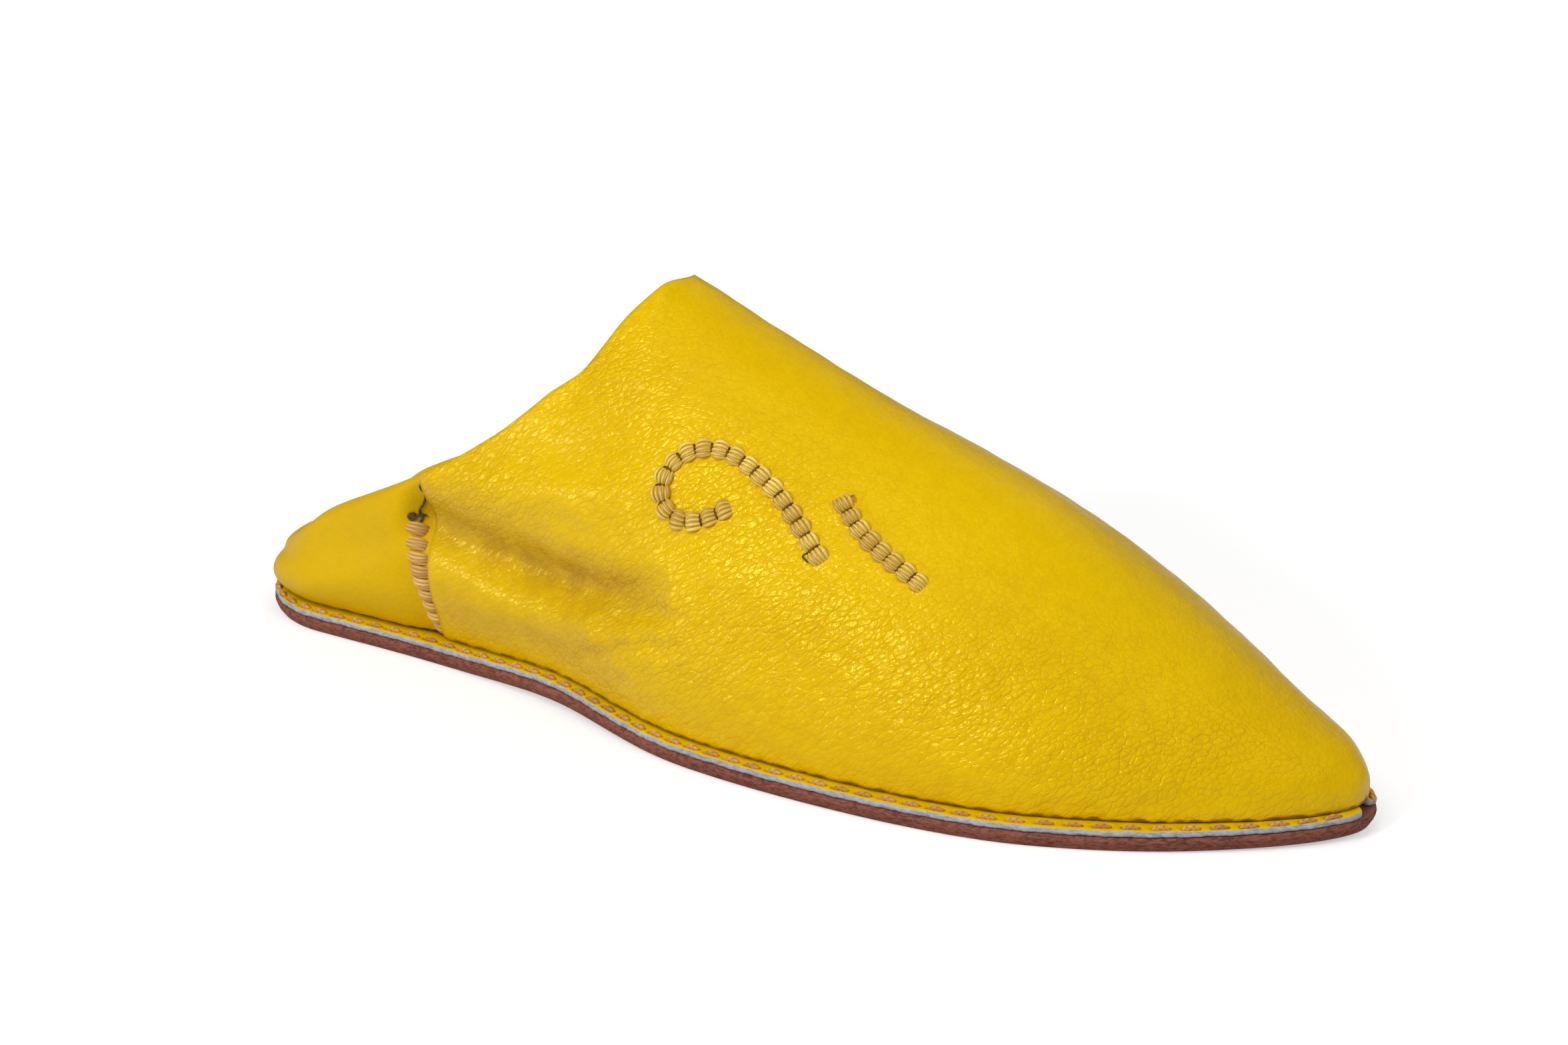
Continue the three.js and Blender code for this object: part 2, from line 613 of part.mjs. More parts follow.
// A sheet of even thickness about a grid of mid-surface points, closed at all four edges.
function sheet(name, colour, grid, thickness) {
  const [rows, columns] = [grid.length, grid[0].length];
  const faceOf = (sign) =>
    grid.flatMap((line, r) =>
      line.map((point, c) => {
        const across = line[Math.min(columns - 1, c + 1)]
          .clone()
          .sub(line[Math.max(0, c - 1)]);
        const along = grid[Math.min(rows - 1, r + 1)][c]
          .clone()
          .sub(grid[Math.max(0, r - 1)][c]);
        const normal = across.cross(along).normalize();
        if (c === 0) normal.setZ(0).normalize(); // the foot is cut level
        return point.clone().addScaledVector(normal, (sign * thickness) / 2);
      }),
    );
  const points = [...faceOf(1), ...faceOf(-1)];
  const base = rows * columns;
  const at = (r, c) => r * columns + c;
  const triangles = [];
  for (let r = 0; r + 1 < rows; r += 1) {
    for (let c = 0; c + 1 < columns; c += 1) {
      const [a, b, d, e] = [at(r, c), at(r, c + 1), at(r + 1, c + 1), at(r + 1, c)];
      triangles.push(...quad(a, b, d, e), ...quad(base + a, base + e, base + d, base + b));
    }
    for (const c of [0, columns - 1]) {
      const [a, b] = [at(r, c), at(r + 1, c)];
      const edge = quad(a, b, base + b, base + a);
      triangles.push(...(c === 0 ? edge : edge.map((face) => face.reverse())));
    }
  }
  for (let c = 0; c + 1 < columns; c += 1) {
    for (const r of [0, rows - 1]) {
      const [a, b] = [at(r, c), at(r, c + 1)];
      const edge = quad(a, base + a, base + b, b);
      triangles.push(...(r === 0 ? edge : edge.map((face) => face.reverse())));
    }
  }
  return meshOf(name, colour, points, triangles);
}

// ---- the slipper ----

const slipper = new THREE.Group();
slipper.add(outsole);
slipper.add(makeRand());
slipper.add(insole);
slipper.add(makeVamp());
slipper.add(sheet("heel_quarter", LEATHER.yellow, quarterStations().map(quarterLine), QUARTER_WALL));

// The origin is the bottom centre of the whole slipper's box.
const box = new THREE.Box3().setFromObject(slipper);
const centre = box.getCenter(new THREE.Vector3());
slipper.position.set(-centre.x, -centre.y, -box.min.z);

export default slipper;
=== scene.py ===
"""Babouche slipper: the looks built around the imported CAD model.

One right slipper in yellow leather. The shoe's own sizes are in millimetres: x runs from the
heel's back to the toe, y is negative on the lateral side, and z is the height over the floor.
Pieces: vamp, heel quarter, rand, insole, outsole, and all the needlework.
"""

import math

import bmesh
import bpy
import numpy as np
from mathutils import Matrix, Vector
from mathutils.bvhtree import BVHTree


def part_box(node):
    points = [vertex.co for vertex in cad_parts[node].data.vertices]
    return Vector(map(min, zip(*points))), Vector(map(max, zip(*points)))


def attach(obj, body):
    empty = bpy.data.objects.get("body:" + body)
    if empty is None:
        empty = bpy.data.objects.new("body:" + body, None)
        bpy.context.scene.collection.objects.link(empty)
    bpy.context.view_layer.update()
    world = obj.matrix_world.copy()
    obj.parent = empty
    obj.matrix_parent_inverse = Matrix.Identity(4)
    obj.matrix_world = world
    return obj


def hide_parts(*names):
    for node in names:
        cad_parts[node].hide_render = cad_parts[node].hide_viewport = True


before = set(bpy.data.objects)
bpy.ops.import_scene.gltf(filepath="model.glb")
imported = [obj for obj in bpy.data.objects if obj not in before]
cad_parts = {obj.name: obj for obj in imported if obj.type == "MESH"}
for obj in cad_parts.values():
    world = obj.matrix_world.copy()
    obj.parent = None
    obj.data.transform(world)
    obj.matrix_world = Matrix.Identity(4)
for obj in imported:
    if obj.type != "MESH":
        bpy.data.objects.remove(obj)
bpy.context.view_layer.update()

# ---- the shoe's own sizes, in millimetres ----

MM = 0.001
SOLE_LOW, SOLE_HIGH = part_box("outsole")
MIDDLE_LINE = 0.59  # the heel-to-toe line lies this far to the medial side of the box's middle
ORIGIN = np.array([SOLE_LOW[0], MIDDLE_LINE * MM, 0.0])
LENGTH = (SOLE_HIGH[0] - SOLE_LOW[0]) / MM
HEEL_CENTRE = (26.5, 4.5)

OUTSOLE_THICKNESS = 3.5
RAND_THICKNESS = 1.5
GAP = 0.3
HEEL_FLAT_END = 62.0
FOREFOOT_FLAT = (138.0, 230.0)
ARCH_RISE = 1.4
TOE_SPRING = 1.2

LATERAL = -1
MEDIAL = 1


def to_frame(points):
    """Points in the shoe's millimetres as points in the frame, in metres."""
    return np.asarray(points, float) * MM + ORIGIN


def to_shoe(points):
    """Points in the frame as points in the shoe's millimetres."""
    return (np.asarray(points, float) - ORIGIN) / MM


def ease(low, high, value):
    """0 below low, 1 above high, and smooth between them."""
    t = np.clip((np.asarray(value, float) - low) / (high - low), 0.0, 1.0)
    return t * t * (3 - 2 * t)


def hump(*spans):
    """1 where every value is at its middle, fading to 0 away from it at the pace of its reach."""
    away = sum(((value - middle) / reach) ** 2 for value, middle, reach in spans)
    return np.exp(-away)


def read_table(table, x):
    """The second column of a table at x, with straight lines between its rows."""
    places, values = zip(*table)
    return np.interp(x, places, values)


def underside(x):
    """Height of the outsole's underside: flat heel, a slight arch, flat forefoot, toe spring."""
    waist = np.clip((x - HEEL_FLAT_END) / (FOREFOOT_FLAT[0] - HEEL_FLAT_END), 0, 1)
    spring = np.clip((x - FOREFOOT_FLAT[1]) / (LENGTH - FOREFOOT_FLAT[1]), 0, 1)
    return ARCH_RISE * np.sin(np.pi * waist) ** 2 + TOE_SPRING * spring**1.8


def rand_base(x):
    return underside(x) + OUTSOLE_THICKNESS + GAP


def upper_foot(x):
    return rand_base(x) + RAND_THICKNESS + GAP


# ---- small tools for meshes ----

WELD = 0.02  # corners nearer than this are one
FLAT_JOIN = 35  # triangles that bend less than this, in degrees, become one four-sided face
SKEW_JOIN = 170  # how far, in degrees, that face's corners may differ from square
HEELWARD = 0.6  # the share of an edge's length that runs along x if it runs heel to toe


def new_piece(name, mesh, materials, replaces=None):
    """An object at the origin that rides on the shoe's one body."""
    piece = bpy.data.objects.new(name, mesh)
    bpy.context.scene.collection.objects.link(piece)
    for material in materials[len(mesh.materials) :]:
        mesh.materials.append(material)
    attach(piece, "root")
    if replaces:
        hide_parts(replaces)
    return piece


def vertex_array(mesh):
    places = np.empty(len(mesh.vertices) * 3)
    mesh.vertices.foreach_get("co", places)
    return places.reshape(-1, 3)


def set_vertices(mesh, places):
    mesh.vertices.foreach_set("co", np.asarray(places, float).ravel())
    mesh.update()


def set_attribute(mesh, name, values):
    """A number for each vertex, which a material can read."""
    layer = mesh.attributes.new(name, "FLOAT", "POINT")
    layer.data.foreach_set("value", np.asarray(values, np.float32))


def smooth_faces(mesh):
    mesh.polygons.foreach_set("use_smooth", [True] * len(mesh.polygons))


def evaluated_mesh(thing):
    """The mesh that an object's modifiers make, as a new plain mesh."""
    graph = bpy.context.evaluated_depsgraph_get()
    return bpy.data.meshes.new_from_object(thing.evaluated_get(graph))


def face_islands(bm, angle):
    """Marks each face with the number of the smooth region that it belongs to."""
    bm.faces.ensure_lookup_table()
    island = [-1] * len(bm.faces)
    count = 0
    for seed in bm.faces:
        if island[seed.index] >= 0:
            continue
        island[seed.index] = count
        front = [seed]
        while front:
            face = front.pop()
            for edge in face.edges:
                for other in edge.link_faces:
                    near = other.normal.angle(face.normal, 0.0) < angle
                    if near and island[other.index] < 0:
                        island[other.index] = count
                        front.append(other)
        count += 1
    return island, count


def supple_copy(node, angle, levels, crease, classify, cut_along=0.0):
    """A smooth, finely divided copy of a CAD node's mesh.

    Faces are grouped into smooth regions, bending less than the angle, in degrees. classify says
    which material each region takes, and the borders between regions keep a crease. Edges that
    run heel to toe and are longer than cut_along millimetres, if it is given, are cut once.
    """
    bm = bmesh.new()
    bm.from_mesh(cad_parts[node].data)
    bmesh.ops.remove_doubles(bm, verts=bm.verts, dist=WELD * MM)
    bmesh.ops.join_triangles(
        bm,
        faces=bm.faces,
        angle_face_threshold=math.radians(FLAT_JOIN),
        angle_shape_threshold=math.radians(SKEW_JOIN),
    )
    bm.normal_update()
    island, count = face_islands(bm, math.radians(angle))
    groups = [[] for _ in range(count)]
    for face in bm.faces:
        groups[island[face.index]].append(face)
    for faces in groups:
        kind = classify(faces)
        for face in faces:
            face.material_index = kind
    layer = bm.edges.layers.float.new("crease_edge")
    for edge in bm.edges:
        sides = {island[face.index] for face in edge.link_faces}
        edge[layer] = crease if len(sides) > 1 else 0.0
    if cut_along:
        long_edges = [
            edge
            for edge in bm.edges
            if edge.calc_length() > cut_along * MM
            and abs(edge.verts[0].co.x - edge.verts[1].co.x) > HEELWARD * edge.calc_length()
        ]
        bmesh.ops.subdivide_edges(bm, edges=long_edges, cuts=1, use_grid_fill=True)
    mesh = bpy.data.meshes.new(node + "_cage")
    bm.to_mesh(mesh)
    bm.free()
    cage = bpy.data.objects.new(node + "_cage", mesh)
    bpy.context.scene.collection.objects.link(cage)
    smoothing = cage.modifiers.new("smoothing", "SUBSURF")
    smoothing.levels = levels
    smoothing.render_levels = levels
    made = evaluated_mesh(cage)
    bpy.data.objects.remove(cage)
    bpy.data.meshes.remove(mesh)
    smooth_faces(made)
    return made


def region_size(faces):
    return sum(face.calc_area() for face in faces)


def surface_tree(*meshes):
    """A tree for ray casts against several meshes together."""
    places = []
    polygons = []
    for mesh in meshes:
        base = len(places)
        places += [vertex.co.copy() for vertex in mesh.vertices]
        polygons += [[base + v for v in polygon.vertices] for polygon in mesh.polygons]
    return BVHTree.FromPolygons(places, polygons)


def flowing_line(points, spacing):
    """A smooth line through the points (Catmull-Rom), as evenly spaced points."""
    points = np.asarray(points, float)
    padded = np.vstack([2 * points[0] - points[1], points, 2 * points[-1] - points[-2]])
    dense = []
    for a, b, c, d in zip(padded, padded[1:], padded[2:], padded[3:]):
        bend = 2 * a - 5 * b + 4 * c - d
        twist = 3 * b - a - 3 * c + d
        for t in np.linspace(0, 1, 24, endpoint=False):
            dense.append(0.5 * (2 * b + (c - a) * t + bend * t**2 + twist * t**3))
    dense.append(points[-1])
    return evenly(np.array(dense), spacing)


def evenly(line, spacing):
    """The same line as evenly spaced points, from its first point to its last."""
    steps = np.linalg.norm(np.diff(line, axis=0), axis=1)
    along = np.concatenate([[0], np.cumsum(steps)])
    count = max(2, int(round(along[-1] / spacing)) + 1)
    wanted = np.linspace(0, along[-1], count)
    return np.column_stack([np.interp(wanted, along, line[:, k]) for k in range(line.shape[1])])


# ---- the leather's form: soft troughs and ridges pressed into the copies ----

# Creases of the vamp. The leather moves out by "move" on the crease's path and by a fifth of that
# at "half_width" from it. The crease fades out at its front end, and at its rear end it keeps the
# share "rear". The path is a line along one side, in x and height.
CREASE_COLUMNS = ("side", "move", "half_width", "rear", "path")
CREASE_ROWS = (
    (LATERAL, -4.8, 7.5, 1.0, ((58, 36), (74, 33.5), (88, 32), (102, 31.5), (118, 33), (134, 36))),
    (LATERAL, 2.5, 8.0, 0.6, ((58, 47), (74, 48), (92, 50), (112, 54), (130, 58))),
    (LATERAL, 1.3, 7.5, 0.5, ((60, 20), (84, 20), (108, 22.5), (128, 25))),
    (LATERAL, -1.5, 2.4, 0.0, ((112, 24), (121, 29), (130, 32), (140, 33.5))),
    (LATERAL, -1.3, 2.3, 0.0, ((106, 15), (117, 20), (129, 24.5), (141, 27))),
    (LATERAL, -1.0, 2.2, 0.0, ((98, 24), (109, 29.5), (119, 34.5), (128, 37))),
    (LATERAL, 0.7, 7.0, 0.0, ((128, 47), (146, 45), (166, 42), (188, 38))),
    (LATERAL, -0.5, 3.2, 0.0, ((240, 10), (251, 11.5), (262, 11), (271, 10))),
    (MEDIAL, -1.6, 7.5, 1.0, ((58, 33), (80, 33), (104, 36), (130, 40))),
    (MEDIAL, 0.8, 7.0, 0.5, ((60, 20), (86, 20), (114, 24))),
    (MEDIAL, -0.6, 3.0, 0.0, ((112, 18), (128, 25), (146, 28))),
)
VAMP_CREASES = tuple(dict(zip(CREASE_COLUMNS, row)) for row in CREASE_ROWS)
DEEP_TROUGH = VAMP_CREASES[0]
CREASE_FALL = 1.6  # how fast a crease falls off across its path

# The height of the vamp's top line, along x.
RIDGE_TABLE = ((60, 96), (116, 96), (149, 82), (183, 69), (216, 54.6), (246, 37), (269, 22), (283, 7))


def ridge_height(x):
    return read_table(RIDGE_TABLE, x)


def outward(places):
    """The way the vamp's wall faces, out from a line low in the middle of the shoe."""
    x, y, z = places.T
    half_width = 24 + 24 * ease(60, 170, x) - 26 * ease(215, 283, x)
    sideways = y / half_width**2
    upward = (z - 10) * 0.75 / ridge_height(x) ** 2
    length = np.hypot(sideways, upward) + 1e-9
    return np.column_stack([np.zeros_like(x), sideways / length, upward / length])


def on_side(y, side):
    """1 on the given side of the shoe, fading to 0 by its middle."""
    return ease(2, 10, y * side)


def crease_strength(x, z, crease):
    """How strongly a crease acts at each point of the side: 1 on its path, 0 away from it."""
    path = np.asarray(crease["path"], float)
    steps = np.linalg.norm(np.diff(path, axis=0), axis=1)
    reached = np.concatenate([[0], np.cumsum(steps)])
    places = np.column_stack([x, z])
    best = np.full(len(x), 1e9)
    share = np.zeros(len(x))
    for a, b, start, step in zip(path, path[1:], reached, steps):
        t = np.clip((places - a) @ (b - a) / step**2, 0, 1)
        away = np.linalg.norm(places - (a + t[:, None] * (b - a)), axis=1)
        nearer = away < best
        best = np.where(nearer, away, best)
        share = np.where(nearer, (start + t * step) / reached[-1], share)
    swell = np.sin(np.pi * np.clip(share, 0, 1)) ** 0.6
    lasting = crease["rear"] * (1 - ease(0, 0.6, share))
    across = np.exp(-((best / crease["half_width"]) ** 2) * CREASE_FALL)
    return across * np.maximum(swell, lasting)


def crease_move(places):
    """How far all of the creases together move each point out."""
    x, y, z = places.T
    return sum(
        crease["move"] * on_side(y, crease["side"]) * crease_strength(x, z, crease)
        for crease in VAMP_CREASES
    )


WAVES = 6
WAVE_SCALE = 3.2  # brings the sum of the waves to about -1 to 1


def slow_waves(places, seed, size):
    """Smooth irregularity, mostly between -1 and 1, from a few crossing waves."""
    rng = np.random.default_rng(seed)
    total = np.zeros(len(places))
    for _ in range(WAVES):
        way = rng.normal(size=3)
        way /= np.linalg.norm(way)
        pace = rng.uniform(0.6, 1.5)
        start = rng.uniform(0, 7)
        total += np.sin(places @ way * (2 * np.pi / size) * pace + start)
    return total / WAVE_SCALE


# The height of the collar's edge, along x.
COLLAR_TABLE = (
    (60, 47.2),
    (70, 53.4),
    (80, 60.2),
    (90, 68.6),
    (98, 76.8),
    (105, 85.8),
    (111, 93.2),
    (116, 96),
)
COLLAR_SLACK = 2.4  # how far the edge sags below its straight cut, behind the peak
COLLAR_FULL = 1.3  # and how far it stands over it at the peak


def collar_lift(places):
    """How far the lateral top line is drawn up or down from a straight cut, near the collar."""
    x, y, z = places.T
    near = ease(-16, -2, z - read_table(COLLAR_TABLE, x))
    slack = -COLLAR_SLACK * hump((x, 101, 4.8))
    full = COLLAR_FULL * hump((x, 114.5, 2.6))
    return near * ease(-4, 8, y * LATERAL) * (slack + full)


# The vamp's unevenness: how far each set of waves moves the wall, its length and its seed.
VAMP_WAVES = ({"move": 0.35, "size": 34, "seed": 4}, {"move": 0.12, "size": 9, "seed": 9})
TOE_FULLNESS = 1.2
FOOT_ROLL = 0.35  # how far the turned-in edge stands out over the rand
FOOT_PUCKER = 0.22  # and how unevenly
FOOT_LIFT = 0.12  # how far the same edge is raised, how unevenly, and at most
FOOT_WAVER = 0.16
FOOT_LIFT_MOST = 0.3
FOOT_CLOSEST = 0.02  # how far the edge may sink into its gap over the rand


def press_vamp(places):
    """Moves the vamp's wall, both faces together, into its worn, hand-lasted form."""
    x, _, z = places.T
    move = crease_move(places)
    free = ease(6, 16, z) * (1 - ease(262, 280, x))
    for wave in VAMP_WAVES:
        move += wave["move"] * free * slow_waves(places, wave["seed"], wave["size"])
    move += TOE_FULLNESS * hump((x, 275, 9), (z, 16, 6))
    foot = z - upper_foot(x)
    roll = hump((foot, 0, 2.2)) * (1 - ease(270, 280, x))
    wavy = slow_waves(places * (1, 1, 0), 12, 6.5)
    move += roll * (FOOT_ROLL + FOOT_PUCKER * wavy)
    pressed = places + outward(places) * move[:, None]
    pressed[:, 2] += collar_lift(places)
    pressed[:, 2] += hump((foot, 0, 1.2)) * np.clip(FOOT_LIFT + FOOT_WAVER * wavy, 0, FOOT_LIFT_MOST)
    pressed[:, 2] = np.maximum(pressed[:, 2], upper_foot(x) - FOOT_CLOSEST)
    return pressed


# The height of the quarter's rolled fold, along x, and then how far each part of it is moved.
FOLD_TABLE = ((0, 13.6), (10, 21), (28, 30), (40, 35.5), (60, 45.5))
VALLEY_DEPTH = 0.75
BELLY = 0.45
QUARTER_FOOT = 0.3
BACK_FULLNESS = 1.5
QUARTER_WAVES = 0.18
FOLD_RAISE = 1.8


def press_quarter(places):
    """A shallow valley under the quarter's rolled fold, and the wall's slight unevenness."""
    x, y, z = places.T
    ahead = np.maximum(x - HEEL_CENTRE[0], 0)
    from_centre = np.column_stack([x - ahead - HEEL_CENTRE[0], y - HEEL_CENTRE[1]])
    reach = np.linalg.norm(from_centre, axis=1) + 1e-9
    out = from_centre / reach[:, None]
    below = read_table(FOLD_TABLE, x) - z
    wall = ease(15.5, 19, reach)
    valley = hump((below, 11, 4.0)) * ease(6, 24, x)
    belly = hump((z, 15, 5.5)) * ease(12, 30, x) * (1 - ease(50, 58, x))
    foot = hump((z, upper_foot(x), 2.0))
    behind = ease(4, 24, HEEL_CENTRE[0] - x) * ease(7, 13, z)
    near_seam = ease(49, 59, x)
    move = near_seam * ease(12, 15, reach) * crease_move(places)
    pressed_in = -VALLEY_DEPTH * valley + BELLY * belly
    move += wall * (pressed_in + QUARTER_FOOT * foot + BACK_FULLNESS * behind)
    move += QUARTER_WAVES * slow_waves(places, 21, 22) * (1 - foot)
    moved = places.copy()
    moved[:, :2] += out * move[:, None]
    moved[:, 2] += FOLD_RAISE * hump((x, 6, 6)) * ease(8, 14, z)
    return moved


# Where the grain stands out most on the vamp: the middle of each patch in x and height, and
# how far it reaches each way.
PATCH_COLUMNS = ("x", "z", "reach_x", "reach_z")
PATCH_ROWS = (
    (76, 50, 20, 14),
    (106, 80, 16, 14),
    (140, 56, 26, 14),
    (128, 30, 26, 16),
    (165, 36, 34, 12),
    (205, 30, 36, 12),
    (240, 20, 26, 9),
)
GRAIN_PATCHES = tuple(dict(zip(PATCH_COLUMNS, row)) for row in PATCH_ROWS)
PLAIN_GRAIN = 0.38  # how deep the grain is away from the patches
PATCH_GRAIN = 0.62  # and how much deeper in the middle of one
RIDGE_SMOOTHING = 0.35  # how much of it is lost along the top line


def grain_share(places):
    """How deep the pebbled grain is at each point, from 0 to 1."""
    x, _, z = places.T
    share = np.full(len(places), PLAIN_GRAIN)
    for patch in GRAIN_PATCHES:
        away = ((x - patch["x"]) / patch["reach_x"]) ** 2 + ((z - patch["z"]) / patch["reach_z"]) ** 2
        share = np.maximum(share, PLAIN_GRAIN + PATCH_GRAIN * np.exp(-away * 0.9))
    share *= 1 - RIDGE_SMOOTHING * ease(0.80, 1.0, z / ridge_height(x))
    return np.clip(share, 0, 1)


def painted_shade_share(places):
    """How much painted shade each point takes, from 0 to 1: most in the lateral trough, less below it.
    """
    x, y, z = places.T
    trough = crease_strength(x, z - 1.0, DEEP_TROUGH) * on_side(y, LATERAL)
    below = hump((z, 16, 9), (x, 92, 34)) * on_side(y, LATERAL)
    return np.clip(0.85 * trough + 0.35 * below, 0, 1)


def foot_share(places):
    """How near each point is to the line where the leather meets the rand, from 0 to 1."""
    x, _, z = places.T
    line = hump((z, upper_foot(x), 0.9))
    return np.clip(line * (0.85 + 0.5 * slow_waves(places, 31, 4)), 0, 1)


# ---- shader building ----


def add(tree, kind, inputs=(), **settings):
    """A node with its settings, whose inputs are values or other nodes' sockets."""
    made = tree.nodes.new(kind)
    for name, value in settings.items():
        setattr(made, name, value)
    for key, value in dict(inputs).items():
        socket = made.inputs[key]
        if isinstance(value, bpy.types.NodeSocket):
            tree.links.new(value, socket)
        else:
            socket.default_value = value
    return made


def maths(tree, operation, *values, clamp=False):
    made = add(tree, "ShaderNodeMath", enumerate(values), operation=operation, use_clamp=clamp)
    return made.outputs[0]


def vector_maths(tree, operation, inputs):
    return add(tree, "ShaderNodeVectorMath", inputs, operation=operation).outputs[0]


def join_vector(tree, x, y, z):
    return add(tree, "ShaderNodeCombineXYZ", {0: x, 1: y, 2: z}).outputs[0]


def vertex_number(tree, name):
    """A number that the mesh carries for each vertex."""
    return add(tree, "ShaderNodeAttribute", attribute_name=name).outputs["Fac"]


def set_values(shader, values):
    """Gives the shader's named inputs their fixed values."""
    for title, value in values.items():
        shader.inputs[title].default_value = value


def spread(tree, value, low, high, to_low=0.0, to_high=1.0, shape="SMOOTHSTEP"):
    """The value, mapped from low..high to to_low..to_high."""
    inputs = {"Value": value, 1: low, 2: high, 3: to_low, 4: to_high}
    made = add(tree, "ShaderNodeMapRange", inputs, interpolation_type=shape)
    return made.outputs[0]


def blend(tree, share, first, second):
    """A colour between first and second."""
    return add(tree, "ShaderNodeMix", {0: share, 6: first, 7: second}, data_type="RGBA").outputs[2]


def noise(tree, vector, size, detail=3.0, roughness=0.55):
    """Noise with features about this many millimetres across, from 0 to 1."""
    inputs = {"Vector": vector, "Scale": 1 / (size * MM), "Detail": detail, "Roughness": roughness}
    return add(tree, "ShaderNodeTexNoise", inputs).outputs["Fac"]


def plain_noise(tree, vector, scale, detail, output="Fac"):
    """Noise over a vector that already has its size."""
    inputs = {"Vector": vector, "Scale": scale, "Detail": detail}
    return add(tree, "ShaderNodeTexNoise", inputs).outputs[output]


def pebbles(tree, vector, scale, feature="F1"):
    """The distance from the middle of each pebble, or with DISTANCE_TO_EDGE from its border."""
    inputs = {"Vector": vector, "Scale": scale}
    return add(tree, "ShaderNodeTexVoronoi", inputs, feature=feature).outputs["Distance"]


def own_place(tree):
    return add(tree, "ShaderNodeTexCoord").outputs["Object"]


def colour(red, green, blue):
    """A linear colour from screen values of 0 to 255."""
    linear = []
    for value in (red, green, blue):
        bright = ((value / 255 + 0.055) / 1.055) ** 2.4
        linear.append(bright if value > 10 else value / 255 / 12.92)
    return (*linear, 1.0)


def new_group(name, inputs, outputs):
    """An empty node group with its named sockets, and its two end nodes."""
    kinds = {"value": "NodeSocketFloat", "colour": "NodeSocketColor"}
    tree = bpy.data.node_groups.new(name, "ShaderNodeTree")
    for title, kind, default in inputs:
        socket = tree.interface.new_socket(title, in_out="INPUT", socket_type=kinds[kind])
        socket.default_value = default
    for title, kind in outputs:
        tree.interface.new_socket(title, in_out="OUTPUT", socket_type=kinds[kind])
    return tree, tree.nodes.new("NodeGroupInput"), tree.nodes.new("NodeGroupOutput")


def use(tree, group, **values):
    """A placed group; its inputs are named with _ for a space."""
    inputs = {title.replace("_", " "): value for title, value in values.items()}
    return add(tree, "ShaderNodeGroup", inputs, node_tree=group)


GRAIN_TURN = 0.7  # how far, in radians, the pebbles' long way leans from heel-to-toe
WARP = 1.3  # how far the pebbles are bent out of shape
SMALL_PEBBLES = 2.1  # how many times finer the small domes are

# How much each part adds to the grain's height.
DOMES = -0.55
SMALL_DOMES = -0.22
RIM = 0.16
RIPPLE = 1.6
ROUGHNESS = 0.10


def grain_group():
    """Pebbled leather: large and small domes between fine valleys, rippled and a little rough."""
    tree, given, result = new_group(
        "pebbled_grain",
        [("Pebble", "value", 1.25), ("Depth", "value", 1.0), ("Stretch", "value", 0.7)],
        [("Height", "value"), ("Valley", "value")],
    )
    depth = given.outputs["Depth"]
    pebble = maths(tree, "DIVIDE", 1 / MM, given.outputs["Pebble"])
    scaled = vector_maths(tree, "SCALE", {0: own_place(tree), 3: pebble})
    turned = add(tree, "ShaderNodeMapping", {"Vector": scaled, "Rotation": (0.0, GRAIN_TURN, 0.0)})
    stretch = join_vector(tree, given.outputs["Stretch"], 1.0, 1.0)
    stretched = vector_maths(tree, "MULTIPLY", {0: turned.outputs[0], 1: stretch})
    warp = plain_noise(tree, stretched, 0.6, 2.0, "Color")
    offset = vector_maths(tree, "SUBTRACT", {0: warp, 1: (0.5, 0.5, 0.5)})
    bent = vector_maths(tree, "MULTIPLY_ADD", {0: offset, 1: (WARP, WARP, WARP), 2: stretched})
    edge = pebbles(tree, bent, 1.0, "DISTANCE_TO_EDGE")
    dome = maths(tree, "POWER", pebbles(tree, bent, 1.0), 2.0)
    small_dome = maths(tree, "POWER", pebbles(tree, bent, SMALL_PEBBLES), 2.0)
    rim = spread(tree, edge, 0.0, 0.2)
    ripple = plain_noise(tree, stretched, 0.36, 1.0)
    rough = plain_noise(tree, scaled, 4.0, 2.0)
    height = maths(tree, "MULTIPLY", dome, DOMES)
    for part, share in ((small_dome, SMALL_DOMES), (rim, RIM), (ripple, RIPPLE), (rough, ROUGHNESS)):
        height = maths(tree, "MULTIPLY_ADD", part, share, height)
    valley = spread(tree, edge, 0.0, 0.16, 1.0, 0.0)
    tree.links.new(maths(tree, "MULTIPLY", height, depth), result.inputs["Height"])
    tree.links.new(maths(tree, "MULTIPLY", valley, depth), result.inputs["Valley"])
    return tree


def dye_group():
    """The uneven yellow dye: broad clouds, small mottling, and darker grain valleys."""
    tree, given, result = new_group(
        "uneven_dye",
        [
            ("Dye", "colour", (1, 1, 1, 1)),
            ("Deep Dye", "colour", (0, 0, 0, 1)),
            ("Valley", "value", 0.0),
            ("Mottling", "value", 0.5),
        ],
        [("Colour", "colour")],
    )
    place = own_place(tree)
    cloud = spread(tree, noise(tree, place, 38, 3.0), 0.32, 0.70)
    mottle = spread(tree, noise(tree, place, 3.2, 4.0), 0.35, 0.70)
    share = maths(tree, "MULTIPLY_ADD", mottle, 0.35, maths(tree, "MULTIPLY", cloud, 0.55))
    share = maths(tree, "MULTIPLY", share, given.outputs["Mottling"])
    share = maths(tree, "MULTIPLY_ADD", given.outputs["Valley"], 0.45, share, clamp=True)
    shade = blend(tree, share, given.outputs["Dye"], given.outputs["Deep Dye"])
    tree.links.new(shade, result.inputs["Colour"])
    return tree


